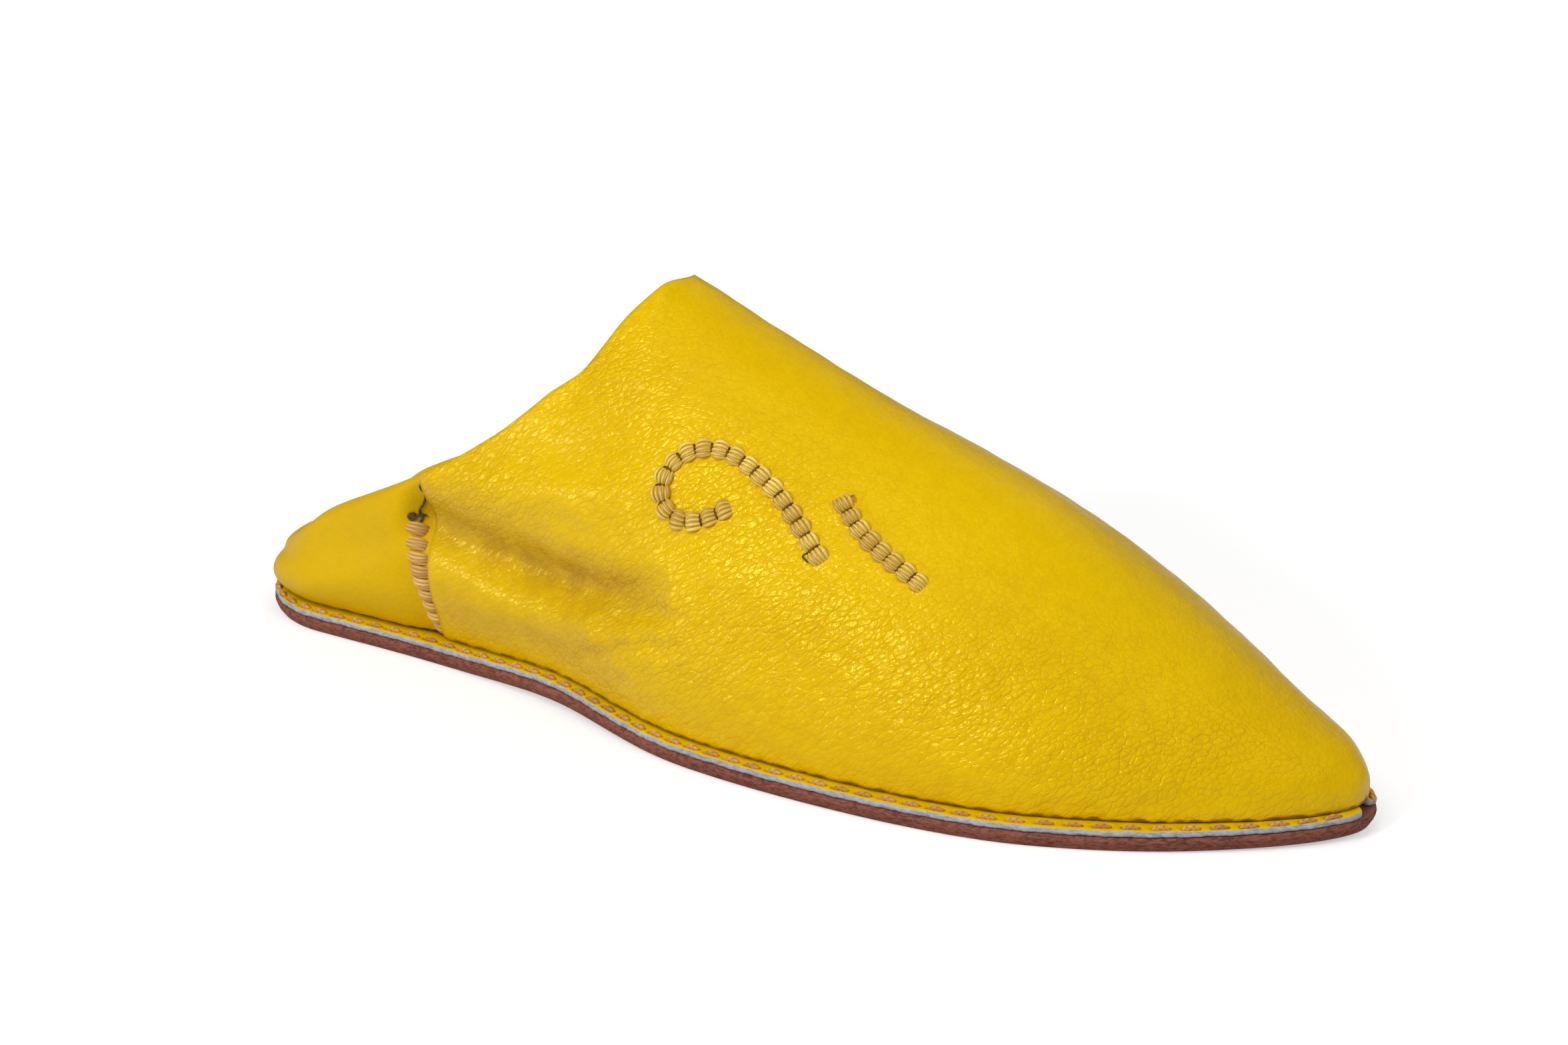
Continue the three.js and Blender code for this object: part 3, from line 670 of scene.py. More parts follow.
def fibre_group():
    """Cut leather: short fibres, lighter and darker flecks and a rough height."""
    tree, given, result = new_group(
        "cut_fibres",
        [
            ("Fibre", "colour", (1, 1, 1, 1)),
            ("Dark Fibre", "colour", (0, 0, 0, 1)),
            ("Fleck", "value", 0.5),
            ("Along", "value", 0.35),
        ],
        [("Colour", "colour"), ("Height", "value")],
    )
    place = own_place(tree)
    along = given.outputs["Along"]
    drawn = vector_maths(tree, "MULTIPLY", {0: place, 1: join_vector(tree, along, along, 1.0)})
    coarse = noise(tree, drawn, 0.55, 4.0, 0.7)
    fine = noise(tree, place, 0.22, 3.0, 0.7)
    broad = noise(tree, drawn, 6.0, 2.0)
    clouds = maths(tree, "MULTIPLY", broad, 0.35)
    share = maths(tree, "MULTIPLY_ADD", spread(tree, coarse, 0.38, 0.66), 0.7, clouds)
    share = maths(tree, "MULTIPLY", share, given.outputs["Fleck"], clamp=True)
    shade = blend(tree, share, given.outputs["Fibre"], given.outputs["Dark Fibre"])
    tree.links.new(shade, result.inputs["Colour"])
    height = maths(tree, "MULTIPLY_ADD", coarse, 0.7, maths(tree, "MULTIPLY", fine, 0.3))
    tree.links.new(height, result.inputs["Height"])
    return tree


def twist_group():
    """Twisted thread, from how far along the thread and round it a point lies."""
    tree, given, result = new_group(
        "twisted_thread",
        [("Turn", "value", 1.6), ("Strands", "value", 2.0)],
        [("Height", "value"), ("Groove", "value"), ("Shade", "value")],
    )
    along = vertex_number(tree, "thread_along")
    around = vertex_number(tree, "thread_around")
    turns = maths(tree, "DIVIDE", along, maths(tree, "MULTIPLY", given.outputs["Turn"], MM))
    phase = maths(tree, "ADD", turns, maths(tree, "MULTIPLY", around, given.outputs["Strands"]))
    wave = maths(tree, "SINE", maths(tree, "MULTIPLY", phase, 2 * math.pi))
    ply = maths(tree, "MULTIPLY_ADD", wave, 0.5, 0.5)
    fuzz = noise(tree, own_place(tree), 0.18, 3.0)
    height = maths(tree, "MULTIPLY_ADD", fuzz, 0.35, ply)
    tree.links.new(height, result.inputs["Height"])
    # Groove is 1 where painted shade darkens the thread between its strands.
    tree.links.new(spread(tree, ply, 0.0, 0.45, 1.0, 0.0), result.inputs["Groove"])
    tree.links.new(vertex_number(tree, "thread_shade"), result.inputs["Shade"])
    return tree


GRAIN = grain_group()
DYE = dye_group()
FIBRES = fibre_group()
TWIST = twist_group()


def new_material(name):
    """A material with one Principled shader, and its tree and shader."""
    material = bpy.data.materials.new(name)
    material.use_nodes = True
    tree = material.node_tree
    return material, tree, tree.nodes["Principled BSDF"]


def finish_surface(tree, shader, shade, roughness, height, depth):
    """Joins colour, roughness and height to the shader; depth is in millimetres."""
    bump = add(tree, "ShaderNodeBump", {"Height": height, "Distance": depth * MM})
    tree.links.new(shade, shader.inputs["Base Color"])
    tree.links.new(roughness, shader.inputs["Roughness"])
    tree.links.new(bump.outputs[0], shader.inputs["Normal"])


YELLOW = colour(232, 190, 0)
QUARTER_YELLOW = colour(220, 178, 0)
DEEP_YELLOW = colour(212, 164, 0)
# Painted shade in the rand's stitch slots; also the colour of the darkened line where the leather
# meets the rand.
SEAM_SHADOW = colour(104, 68, 8)
# Painted shade: the dull tan that darkens the lateral trough and the wall below it.
SHADED_YELLOW = colour(168, 122, 12)
GLINT = (1.0, 0.84, 0.18, 1.0)
GLOSSY = {"Specular IOR Level": 0.6, "Specular Tint": GLINT}
SATIN = {"Specular IOR Level": 0.32, "Specular Tint": GLINT}


def dyed(tree, grain, light, deep, mottling):
    """The colour of leather dyed unevenly from light to deep, and deeper in its valleys."""
    valley = grain.outputs["Valley"]
    dye = use(tree, DYE, Dye=light, Deep_Dye=deep, Valley=valley, Mottling=mottling)
    return dye.outputs["Colour"]


def painted_trough_shade(tree, shade):
    """The dye, darkened to a dull tan as painted shade along the floor of the deep trough and on the
    wall below it.
    """
    hollow = vertex_number(tree, "painted_shade_share")
    patchy = spread(tree, noise(tree, own_place(tree), 6.0, 3.0), 0.3, 0.7, 0.5, 1.0)
    return blend(tree, maths(tree, "MULTIPLY", hollow, patchy), shade, SHADED_YELLOW)


def shaded_foot(tree, shade):
    """The dye, darkened along the line where the leather meets the rand."""
    foot = vertex_number(tree, "foot_share")
    return blend(tree, spread(tree, foot, 0.2, 0.85, 0.0, 0.85), shade, SEAM_SHADOW)


def vamp_leather():
    """Glossy pebbled leather, duller where its grain is flat and in its valleys."""
    material, tree, shader = new_material("vamp_leather")
    depth = vertex_number(tree, "grain_share")
    grain = use(tree, GRAIN, Pebble=1.25, Depth=depth, Stretch=0.45)
    polish = spread(tree, noise(tree, own_place(tree), 1.1, 4.0), 0.35, 0.65, 0.15, 0.25)
    polish = maths(tree, "MULTIPLY_ADD", maths(tree, "SUBTRACT", 1.0, depth), 0.08, polish)
    polish = maths(tree, "MULTIPLY_ADD", grain.outputs["Valley"], 0.15, polish)
    shade = dyed(tree, grain, YELLOW, DEEP_YELLOW, 0.55)
    # Painted shade in the lateral trough, then the darkened line where the leather meets the rand.
    shade = shaded_foot(tree, painted_trough_shade(tree, shade))
    finish_surface(tree, shader, shade, polish, grain.outputs["Height"], 0.36)
    set_values(shader, GLOSSY)
    return material


def quarter_leather():
    """Finer and duller than the vamp, with broad soft unevenness."""
    material, tree, shader = new_material("quarter_leather")
    grain = use(tree, GRAIN, Pebble=1.1, Depth=0.34, Stretch=0.8)
    place = own_place(tree)
    height = maths(tree, "MULTIPLY_ADD", noise(tree, place, 7, 2.0), 0.7, grain.outputs["Height"])
    polish = spread(tree, noise(tree, place, 12, 3.0), 0.35, 0.7, 0.44, 0.56)
    shade = shaded_foot(tree, dyed(tree, grain, QUARTER_YELLOW, DEEP_YELLOW, 0.6))
    finish_surface(tree, shader, shade, polish, height, 0.2)
    set_values(shader, SATIN)
    return material


def rand_leather():
    """The rand's face, with painted shade darkening the slots that the stitches are pulled into."""
    material, tree, shader = new_material("rand_leather")
    grain = use(tree, GRAIN, Pebble=0.8, Depth=0.4, Stretch=0.8)
    slot = vertex_number(tree, "stitch_slot")
    scruffy = noise(tree, own_place(tree), 0.7, 3.0)
    patchy = spread(tree, scruffy, 0.25, 0.6, 0.55, 1.0)
    # Painted shade in the stitch slots, patchy along the rand.
    dark = maths(tree, "MULTIPLY", spread(tree, slot, 0.25, 0.9), patchy)
    shade = blend(tree, dark, dyed(tree, grain, YELLOW, DEEP_YELLOW, 0.5), SEAM_SHADOW)
    polish = spread(tree, scruffy, 0.3, 0.7, 0.42, 0.56)
    finish_surface(tree, shader, shade, polish, grain.outputs["Height"], 0.14)
    set_values(shader, SATIN)
    return material


def cut_edge(name, fibre, dark, depth=0.12, fleck=0.8):
    """A raw cut edge, in its own two colours."""
    material, tree, shader = new_material(name)
    fibres = use(tree, FIBRES, Fibre=fibre, Dark_Fibre=dark, Fleck=fleck)
    rough = spread(tree, fibres.outputs["Height"], 0.3, 0.7, 0.95, 0.78)
    finish_surface(tree, shader, fibres.outputs["Colour"], rough, fibres.outputs["Height"], depth)
    set_values(shader, {"Specular IOR Level": 0.2})
    return material


def lining_leather():
    """Pale lining leather with a short nap."""
    material, tree, shader = new_material("lining_leather")
    grain = use(tree, GRAIN, Pebble=0.9, Depth=0.5, Stretch=0.9)
    nap = noise(tree, own_place(tree), 0.35, 3.0)
    height = maths(tree, "MULTIPLY_ADD", nap, 0.8, grain.outputs["Height"])
    rough = spread(tree, nap, 0.3, 0.7, 0.72, 0.88)
    shade = dyed(tree, grain, colour(222, 196, 150), colour(188, 156, 106), 0.9)
    finish_surface(tree, shader, shade, rough, height, 0.12)
    set_values(shader, {"Specular IOR Level": 0.25})
    return material


def insole_leather():
    """Natural leather, polished and darkened a little where heel and ball press on it."""
    material, tree, shader = new_material("insole_leather")
    grain = use(tree, GRAIN, Pebble=0.8, Depth=0.45, Stretch=0.9)
    worn = vertex_number(tree, "foot_wear")
    shade = dyed(tree, grain, colour(214, 178, 120), colour(176, 132, 78), 0.8)
    shade = blend(tree, maths(tree, "MULTIPLY", worn, 0.45), shade, colour(150, 108, 62))
    rough = spread(tree, worn, 0.0, 1.0, 0.66, 0.46)
    finish_surface(tree, shader, shade, rough, grain.outputs["Height"], 0.1)
    set_values(shader, {"Specular IOR Level": 0.35})
    return material


def tread_leather():
    """The outsole's underside: plain brown hide, scuffed where it meets the ground."""
    material, tree, shader = new_material("tread_leather")
    place = own_place(tree)
    scuffs = spread(tree, noise(tree, place, 14, 5.0, 0.7), 0.42, 0.72)
    fine = noise(tree, place, 0.6, 4.0, 0.7)
    shade = blend(tree, scuffs, colour(142, 88, 62), colour(176, 128, 96))
    shade = blend(tree, spread(tree, fine, 0.4, 0.7, 0.0, 0.35), shade, colour(96, 54, 38))
    rough = spread(tree, scuffs, 0.0, 1.0, 0.52, 0.78)
    height = maths(tree, "MULTIPLY_ADD", fine, 0.6, scuffs)
    finish_surface(tree, shader, shade, rough, height, 0.1)
    return material


def thread(name, light, dark, turn, strands, roughness, sheen=0.0):
    """Twisted thread in two colours: the strands, and painted shade in the grooves between them."""
    material, tree, shader = new_material(name)
    twist = use(tree, TWIST, Turn=turn, Strands=strands)
    each = blend(tree, maths(tree, "MULTIPLY", twist.outputs["Shade"], 0.5), light, dark)
    # Painted shade: the grooves between the strands darken towards the dark colour.
    shade = blend(tree, maths(tree, "MULTIPLY", twist.outputs["Groove"], 0.75), each, dark)
    rough = spread(tree, twist.outputs["Height"], 0.2, 1.1, roughness + 0.2, roughness)
    finish_surface(tree, shader, shade, rough, twist.outputs["Height"], 0.07)
    shine = {"Specular IOR Level": 0.55, "Sheen Weight": sheen, "Sheen Roughness": 0.4}
    set_values(shader, shine)
    return material


VAMP_LEATHER = vamp_leather()
QUARTER_LEATHER = quarter_leather()
RAND_LEATHER = rand_leather()
LINING = lining_leather()
INSOLE_LEATHER = insole_leather()
TREAD = tread_leather()
BLUE_EDGE = cut_edge("blue_cut_edge", colour(186, 192, 204), colour(116, 124, 138))
HIDE_EDGE = cut_edge("hide_cut_edge", colour(160, 98, 80), colour(84, 44, 36), depth=0.3, fleck=0.95)
GOLD_THREAD = thread("gold_thread", colour(255, 224, 106), colour(166, 110, 0), 8.0, 3.0, 0.26, 0.1)
TAN_THREAD = thread("tan_thread", colour(226, 172, 92), colour(150, 92, 32), 1.3, 2.0, 0.55, 0.1)
SEAM_THREAD = thread("seam_thread", colour(232, 186, 104), colour(170, 116, 40), 8.0, 3.0, 0.5, 0.1)
DARK_THREAD = thread("dark_thread", colour(96, 84, 74), colour(44, 34, 26), 0.9, 2.0, 0.6)
# Dark pieces laid as painted shade in the gaps between the embroidery's blocks.
GAP_SHADE = thread("painted_gap_shade", colour(120, 78, 10), colour(60, 34, 6), 3.0, 1.0, 0.9)


# ---- vamp and heel quarter ----


VAMP_EDGE_AREA = 0.0030  # a smaller region, in square metres, is a cut edge
QUARTER_EDGE_AREA = 0.0016


def sort_vamp(faces):
    """Region of the vamp: 0 for the grain side, 1 for the lining side, 2 for a cut edge."""
    if region_size(faces) < VAMP_EDGE_AREA:
        return 2
    turned = 0.0
    for face in faces:
        _, y, z = to_shoe(face.calc_center_median())
        middle = Vector((0.0, y / 40, (z - 20) / 60)).normalized()
        turned += face.calc_area() * face.normal.dot(middle)
    return 0 if turned > 0 else 1


def make_vamp():
    mesh = supple_copy("upper", 48, 2, 0.85, sort_vamp, cut_along=4)
    places = press_vamp(to_shoe(vertex_array(mesh)))
    set_vertices(mesh, to_frame(places))
    set_attribute(mesh, "grain_share", grain_share(places))
    set_attribute(mesh, "foot_share", foot_share(places))
    set_attribute(mesh, "painted_shade_share", painted_shade_share(places))
    return new_piece("vamp", mesh, [VAMP_LEATHER, LINING, BLUE_EDGE], "upper")


def sort_quarter(faces):
    """Region of the quarter: 0 where its upright faces look out, 1 inside, 2 for a cut edge."""
    if region_size(faces) < QUARTER_EDGE_AREA:
        return 2
    turned = 0.0
    for face in faces:
        x, y, _ = to_shoe(face.calc_center_median())
        out = Vector((min(x - HEEL_CENTRE[0], 0), y - HEEL_CENTRE[1], 0)).normalized()
        if abs(face.normal.z) < 0.5:
            turned += face.calc_area() * face.normal.dot(out)
    return 0 if turned > 0 else 1


def make_quarter():
    mesh = supple_copy("heel_quarter", 48, 2, 0.85, sort_quarter)
    places = press_quarter(to_shoe(vertex_array(mesh)))
    set_vertices(mesh, to_frame(places))
    set_attribute(mesh, "foot_share", foot_share(places))
    materials = [QUARTER_LEATHER, LINING, BLUE_EDGE]
    return new_piece("quarter", mesh, materials, "heel_quarter")


# ---- outsole and insole ----


def sort_outsole(faces):
    """Region of the outsole: 0 for its flat faces, 1 for the raw cut side."""
    flat = sum(face.calc_area() * abs(face.normal.z) for face in faces)
    return 0 if flat > 0.85 * region_size(faces) else 1


def make_outsole():
    mesh = supple_copy("outsole", 22, 3, 0.7, sort_outsole)
    places = to_shoe(vertex_array(mesh))
    x, _, z = places.T
    depth = z - underside(x)
    on_side = ease(0.2, 1.0, depth) * (1 - ease(2.9, 3.4, depth))
    ragged = slow_waves(places, 31, 7) * 0.12 + slow_waves(places, 33, 2.2) * 0.05
    middle = np.column_stack([np.clip(x, HEEL_CENTRE[0], 250.0), np.full(len(x), HEEL_CENTRE[1])])
    out = places[:, :2] - middle
    out /= np.linalg.norm(out, axis=1)[:, None] + 1e-9
    places[:, :2] += out * (on_side * ragged)[:, None]
    set_vertices(mesh, to_frame(places))
    return new_piece("outsole_hide", mesh, [TREAD, HIDE_EDGE], "outsole")


def make_insole():
    mesh = supple_copy("insole", 30, 2, 0.8, lambda faces: 0)
    places = to_shoe(vertex_array(mesh))
    x, y, _ = places.T
    heel = hump((x, 34, 24), (y, 3, 16))
    ball = hump((x, 190, 34), (y, 0, 30))
    set_attribute(mesh, "foot_wear", np.clip(heel + ball, 0, 1))
    return new_piece("footbed", mesh, [INSOLE_LEATHER], "insole")


# ---- the rand: a strip swept round the sole, with slots where it is stitched ----

STATION_STEP = 0.55  # between the strip's sections
RAND_WIDTH = 8.1
TOE_OPENING = 2.4  # from the toe's tip to each end of the strip
END_ROUND = 2.6  # how round the strip's two ends are cut
STITCH_LENGTH = 4.3
SLOT_DEPTH = 0.5
SLOT_HALF_WIDTH = 0.8

# The strip's section: how far in from its outer edge, and its height over the outsole. The rows
# are closest where the stitches' slots are.
SLOT_ROWS = tuple((round(1.20 + 0.18 * k, 2), 1.50) for k in range(9))
RAND_SECTION = (
    (0.10, 0.0),
    (0.02, 0.4),
    (0.04, 0.9),
    (0.16, 1.24),
    (0.42, 1.44),
    (0.75, 1.50),
    (1.00, 1.50),
    *SLOT_ROWS,
    (2.85, 1.50),
    (3.20, 1.50),
    (3.70, 1.50),
    (4.60, 1.50),
    (RAND_WIDTH, 1.50),
    (RAND_WIDTH, 0.0),
)
EDGE_ROWS = 4  # the section's first rows, which are the raw cut edge


def sole_outline():
    """The outsole's top outline, evenly spaced from the toe's tip round to it again."""
    bm = bmesh.new()
    bm.from_mesh(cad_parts["outsole"].data)
    bmesh.ops.remove_doubles(bm, verts=bm.verts, dist=WELD * MM)
    bm.normal_update()
    rim = []
    for edge in bm.edges:
        tops = [face.normal.z > 0.9 for face in edge.link_faces]
        if len(tops) == 2 and tops[0] != tops[1] and edge.verts[0].co.z > 2.5 * MM:
            rim.append(edge)
    onward = {}
    for edge in rim:
        for a, b in (edge.verts, reversed(edge.verts)):
            onward.setdefault(a.index, []).append(b)
    here = max((v for edge in rim for v in edge.verts), key=lambda v: v.co.x)
    walked = [here]
    seen = {here.index}
    while True:
        choice = [v for v in onward[here.index] if v.index not in seen]
        if not choice:
            break
        here = max(choice, key=lambda v: v.co.y) if len(walked) == 1 else choice[0]
        seen.add(here.index)
        walked.append(here)
    line = to_shoe([v.co for v in walked] + [walked[0].co])[:, :2]
    bm.free()
    return flowing_line(line, STATION_STEP)


OUTLINE = sole_outline()


def inward_of(line):
    """At each point of the outline, the way in to the middle of the sole."""
    forward = np.roll(line[:-1], -1, axis=0) - np.roll(line[:-1], 1, axis=0)
    forward = np.vstack([forward, forward[:1]])
    forward /= np.linalg.norm(forward, axis=1)[:, None]
    ways = np.column_stack([-forward[:, 1], forward[:, 0]])
    towards = np.array([140.0, 2.0]) - line
    flip = np.sign(np.median((ways * towards).sum(axis=1)))
    return ways * flip


INWARD = inward_of(OUTLINE)
WALKED = np.arange(len(OUTLINE)) * STATION_STEP


SMOOTHED = 15  # how many points of the outline each ledge width is averaged over
STITCH_SPACING = 5.3
FRONT_SPACING = 0.9  # how much wider the stitches are spaced towards the toe


def ledge_widths(tree):
    """How far in from the outline the upper's foot stands, at each point of the outline."""
    widths = []
    for (x, y), (in_x, in_y) in zip(OUTLINE, INWARD):
        start = Vector(to_frame((x - 2 * in_x, y - 2 * in_y, upper_foot(x) + 0.9)))
        hit = tree.ray_cast(start, Vector((in_x, in_y, 0)), 14 * MM)
        widths.append(hit[3] / MM - 2 if hit[0] else np.nan)
    widths = np.array(widths)
    known = ~np.isnan(widths)
    widths = np.interp(WALKED, WALKED[known], widths[known])
    kernel = np.ones(SMOOTHED) / SMOOTHED
    return np.convolve(np.pad(widths, SMOOTHED // 2, mode="edge"), kernel, mode="valid")


def stitch_places(ledges):
    """Where each rand stitch lies: how far along the outline and how far in from it."""
    stitches = []
    along = TOE_OPENING + 3.4
    while along < WALKED[-1] - TOE_OPENING - 3.0:
        x = np.interp(along, WALKED, OUTLINE[:, 0])
        ledge = np.interp(along, WALKED, ledges)
        inset = float(np.clip(0.5 * ledge, 1.0, 2.05))
        stitches.append((along, inset + 0.12 * math.sin(along * 0.9)))
        wider = FRONT_SPACING * float(ease(120, 250, x))
        along += STITCH_SPACING + wider + 0.25 * math.sin(along * 2.3)
    return stitches


def slot_share(along, inset, stitches):
    """How deep in a stitch's slot a point of the rand's face is, from 0 to 1."""
    share = np.zeros(np.shape(inset))
    for centre, middle in stitches:
        if abs(along - centre) > STITCH_LENGTH:
            continue
        lengthwise = 1 - ease(0.42, 0.60, abs(along - centre) / STITCH_LENGTH)
        across = hump((inset, middle, SLOT_HALF_WIDTH))
        share = np.maximum(share, lengthwise * across)
    return share


def make_rand(stitches):
    total = WALKED[-1]
    kept = [i for i, s in enumerate(WALKED) if TOE_OPENING < s < total - TOE_OPENING]
    places = []
    slots = []
    insets = np.array([row[0] for row in RAND_SECTION])
    heights = np.array([row[1] for row in RAND_SECTION])
    for i in kept:
        s = WALKED[i]
        to_end = min(s, total - s) - TOE_OPENING
        cut = max(0.0, END_ROUND - to_end)
        rounded = END_ROUND - math.sqrt(max(0.0, END_ROUND**2 - cut**2))
        x, y = OUTLINE[i]
        ragged = 0.10 * math.sin(s * 0.73) + 0.08 * math.sin(s * 1.9 + 1) + 0.05 * math.sin(s * 4.1)
        reach = max(1.2 + rounded, min(RAND_WIDTH, abs(y) - 0.4 if x > 262 else RAND_WIDTH))
        inset = np.minimum(insets + rounded + (insets < 0.6) * (ragged - 0.05), reach)
        slot = slot_share(s, inset, stitches) * (heights > 1.3)
        dip = 0.10 * hump((inset, 0, 0.9)) * math.sin(s * 0.31) ** 2 * (heights > 0.9)
        rise = heights - SLOT_DEPTH * slot - dip
        px = x + INWARD[i, 0] * inset
        py = y + INWARD[i, 1] * inset
        pz = rand_base(np.full(len(px), x)) + rise
        places += list(zip(px, py, pz))
        slots += list(slot)
    rows = len(RAND_SECTION)
    faces = []
    kinds = []
    for k in range(len(kept) - 1):
        for r in range(rows):
            nxt = (r + 1) % rows
            here, there = k * rows, (k + 1) * rows
            faces.append((here + r, here + nxt, there + nxt, there + r))
            kinds.append(1 if r < EDGE_ROWS - 1 else 0)
    faces.append(tuple(range(rows)))
    faces.append(tuple(reversed(range((len(kept) - 1) * rows, len(kept) * rows))))
    kinds += [1, 1]
    mesh = bpy.data.meshes.new("rand_strip")
    mesh.from_pydata(to_frame(places).tolist(), [], faces)
    mesh.polygons.foreach_set("material_index", kinds)
    set_attribute(mesh, "stitch_slot", slots)
    bm = bmesh.new()
    bm.from_mesh(mesh)
    bmesh.ops.recalc_face_normals(bm, faces=bm.faces)
    bm.to_mesh(mesh)
    bm.free()
    smooth_faces(mesh)
    return new_piece("rand_strip", mesh, [RAND_LEATHER, BLUE_EDGE], "rand")


# ---- needlework: Geometry Nodes lay a stitch on each mark ----


def mark_points(name, marks):
    """An object whose vertices are marks: a place, the way a stitch lies, and the way out."""
    places, ways, outs = zip(*marks)
    mesh = bpy.data.meshes.new(name)
    mesh.from_pydata([tuple(p) for p in places], [], [])
    for title, values in (("stitch_way", ways), ("stitch_out", outs)):
        layer = mesh.attributes.new(title, "FLOAT_VECTOR", "POINT")
        layer.data.foreach_set("vector", np.asarray(values, np.float32).ravel())
    marked = bpy.data.objects.new(name, mesh)
    bpy.context.scene.collection.objects.link(marked)
    return marked


PINCH = 0.74  # the width of a bundle's ends, as a share of its middle before it bows
OUTER_DROP = 0.32  # how much lower a bundle's outer cords lie
CORD_END = 0.64  # the share of its thickness that a cord keeps at its ends
CORD_STEPS = 8  # steps along a cord, and round it

# The sizes of a stitch and what they are if lay_stitches gives no others, in metres or as shares.
STITCH_SIZES = (
    ("Length", 0.004),
    ("Width", 0.004),
    ("Cord Radius", 0.00043),
    ("Rise", 0.0006),
    ("Dive", 0.0006),
    ("Bow", 1.2),
    ("Unevenness", 0.1),
)
PLAIN_NUMBERS = ("Bow", "Unevenness", "Seed")  # the settings that are no lengths


def stored(tree, geometry, name, value, domain="POINT"):
    """The geometry, with a number stored on it under a name."""
    inputs = {"Geometry": geometry, "Name": name, "Value": value}
    made = add(tree, "GeometryNodeStoreNamedAttribute", inputs, data_type="FLOAT", domain=domain)
    return made.outputs[0]


def mark_way(tree, name):
    """A direction that the marks carry."""
    made = add(tree, "GeometryNodeInputNamedAttribute", {"Name": name}, data_type="FLOAT_VECTOR")
    return made.outputs[0]


def random_number(tree, low, high, seed):
    """A number between low and high, a different one for each stitch."""
    inputs = {"Min": low, "Max": high, "Seed": seed}
    made = add(tree, "FunctionNodeRandomValue", inputs, data_type="FLOAT")
    return next(socket for socket in made.outputs if socket.type == "VALUE" and socket.enabled)


def cord_arches(tree, given, cords):
    """The lines of a bundle's cords, low arches that dive into the leather at both ends."""
    half = maths(tree, "DIVIDE", given["Length"], 2.0)
    back = maths(tree, "MULTIPLY", half, -1.0)
    low = maths(tree, "MULTIPLY", given["Dive"], -1.0)
    half_width = maths(tree, "DIVIDE", given["Width"], 2.0)
    reach = maths(tree, "SUBTRACT", half_width, given["Cord Radius"])
    bundle = add(tree, "GeometryNodeJoinGeometry")
    for k in range(cords):
        across = 0.0 if cords == 1 else 2 * k / (cords - 1) - 1
        side = maths(tree, "MULTIPLY", reach, across)
        pinched = maths(tree, "MULTIPLY", side, PINCH)
        bowed = maths(tree, "MULTIPLY", side, given["Bow"])
        top = maths(tree, "MULTIPLY", given["Rise"], 2.0 * (1 - OUTER_DROP * across * across))
        top = maths(tree, "ADD", top, given["Dive"])
        shape = {
            "Resolution": CORD_STEPS,
            "Start": join_vector(tree, back, pinched, low),
            "Middle": join_vector(tree, 0.0, bowed, top),
            "End": join_vector(tree, half, pinched, low),
        }
        arch = add(tree, "GeometryNodeCurveQuadraticBezier", shape)
        tree.links.new(arch.outputs[0], bundle.inputs[0])
    return bundle.outputs[0]


def cord_tubes(tree, given, arches):
    """Round cords along the arches, thinner at both ends, with the places that a twist needs."""
    spot = add(tree, "GeometryNodeSplineParameter").outputs
    fall = maths(tree, "SUBTRACT", 1.0, spot["Factor"])
    swell = maths(tree, "MULTIPLY", maths(tree, "MULTIPLY", spot["Factor"], fall), 4.0)
    fullness = maths(tree, "MULTIPLY_ADD", swell, 1 - CORD_END, CORD_END)
    radius = maths(tree, "MULTIPLY", fullness, given["Cord Radius"])
    shaped = add(tree, "GeometryNodeSetCurveRadius", {"Curve": arches, "Radius": radius})
    ring = add(tree, "GeometryNodeCurvePrimitiveCircle", {"Resolution": CORD_STEPS, "Radius": 1.0})
    turn = add(tree, "GeometryNodeSplineParameter").outputs
    tube = {
        "Curve": stored(tree, shaped.outputs[0], "thread_along", spot["Length"]),
        "Profile Curve": stored(tree, ring.outputs[0], "thread_around", turn["Factor"]),
        "Scale": add(tree, "GeometryNodeInputRadius").outputs[0],
        "Fill Caps": True,
    }
    return add(tree, "GeometryNodeCurveToMesh", tube).outputs[0]


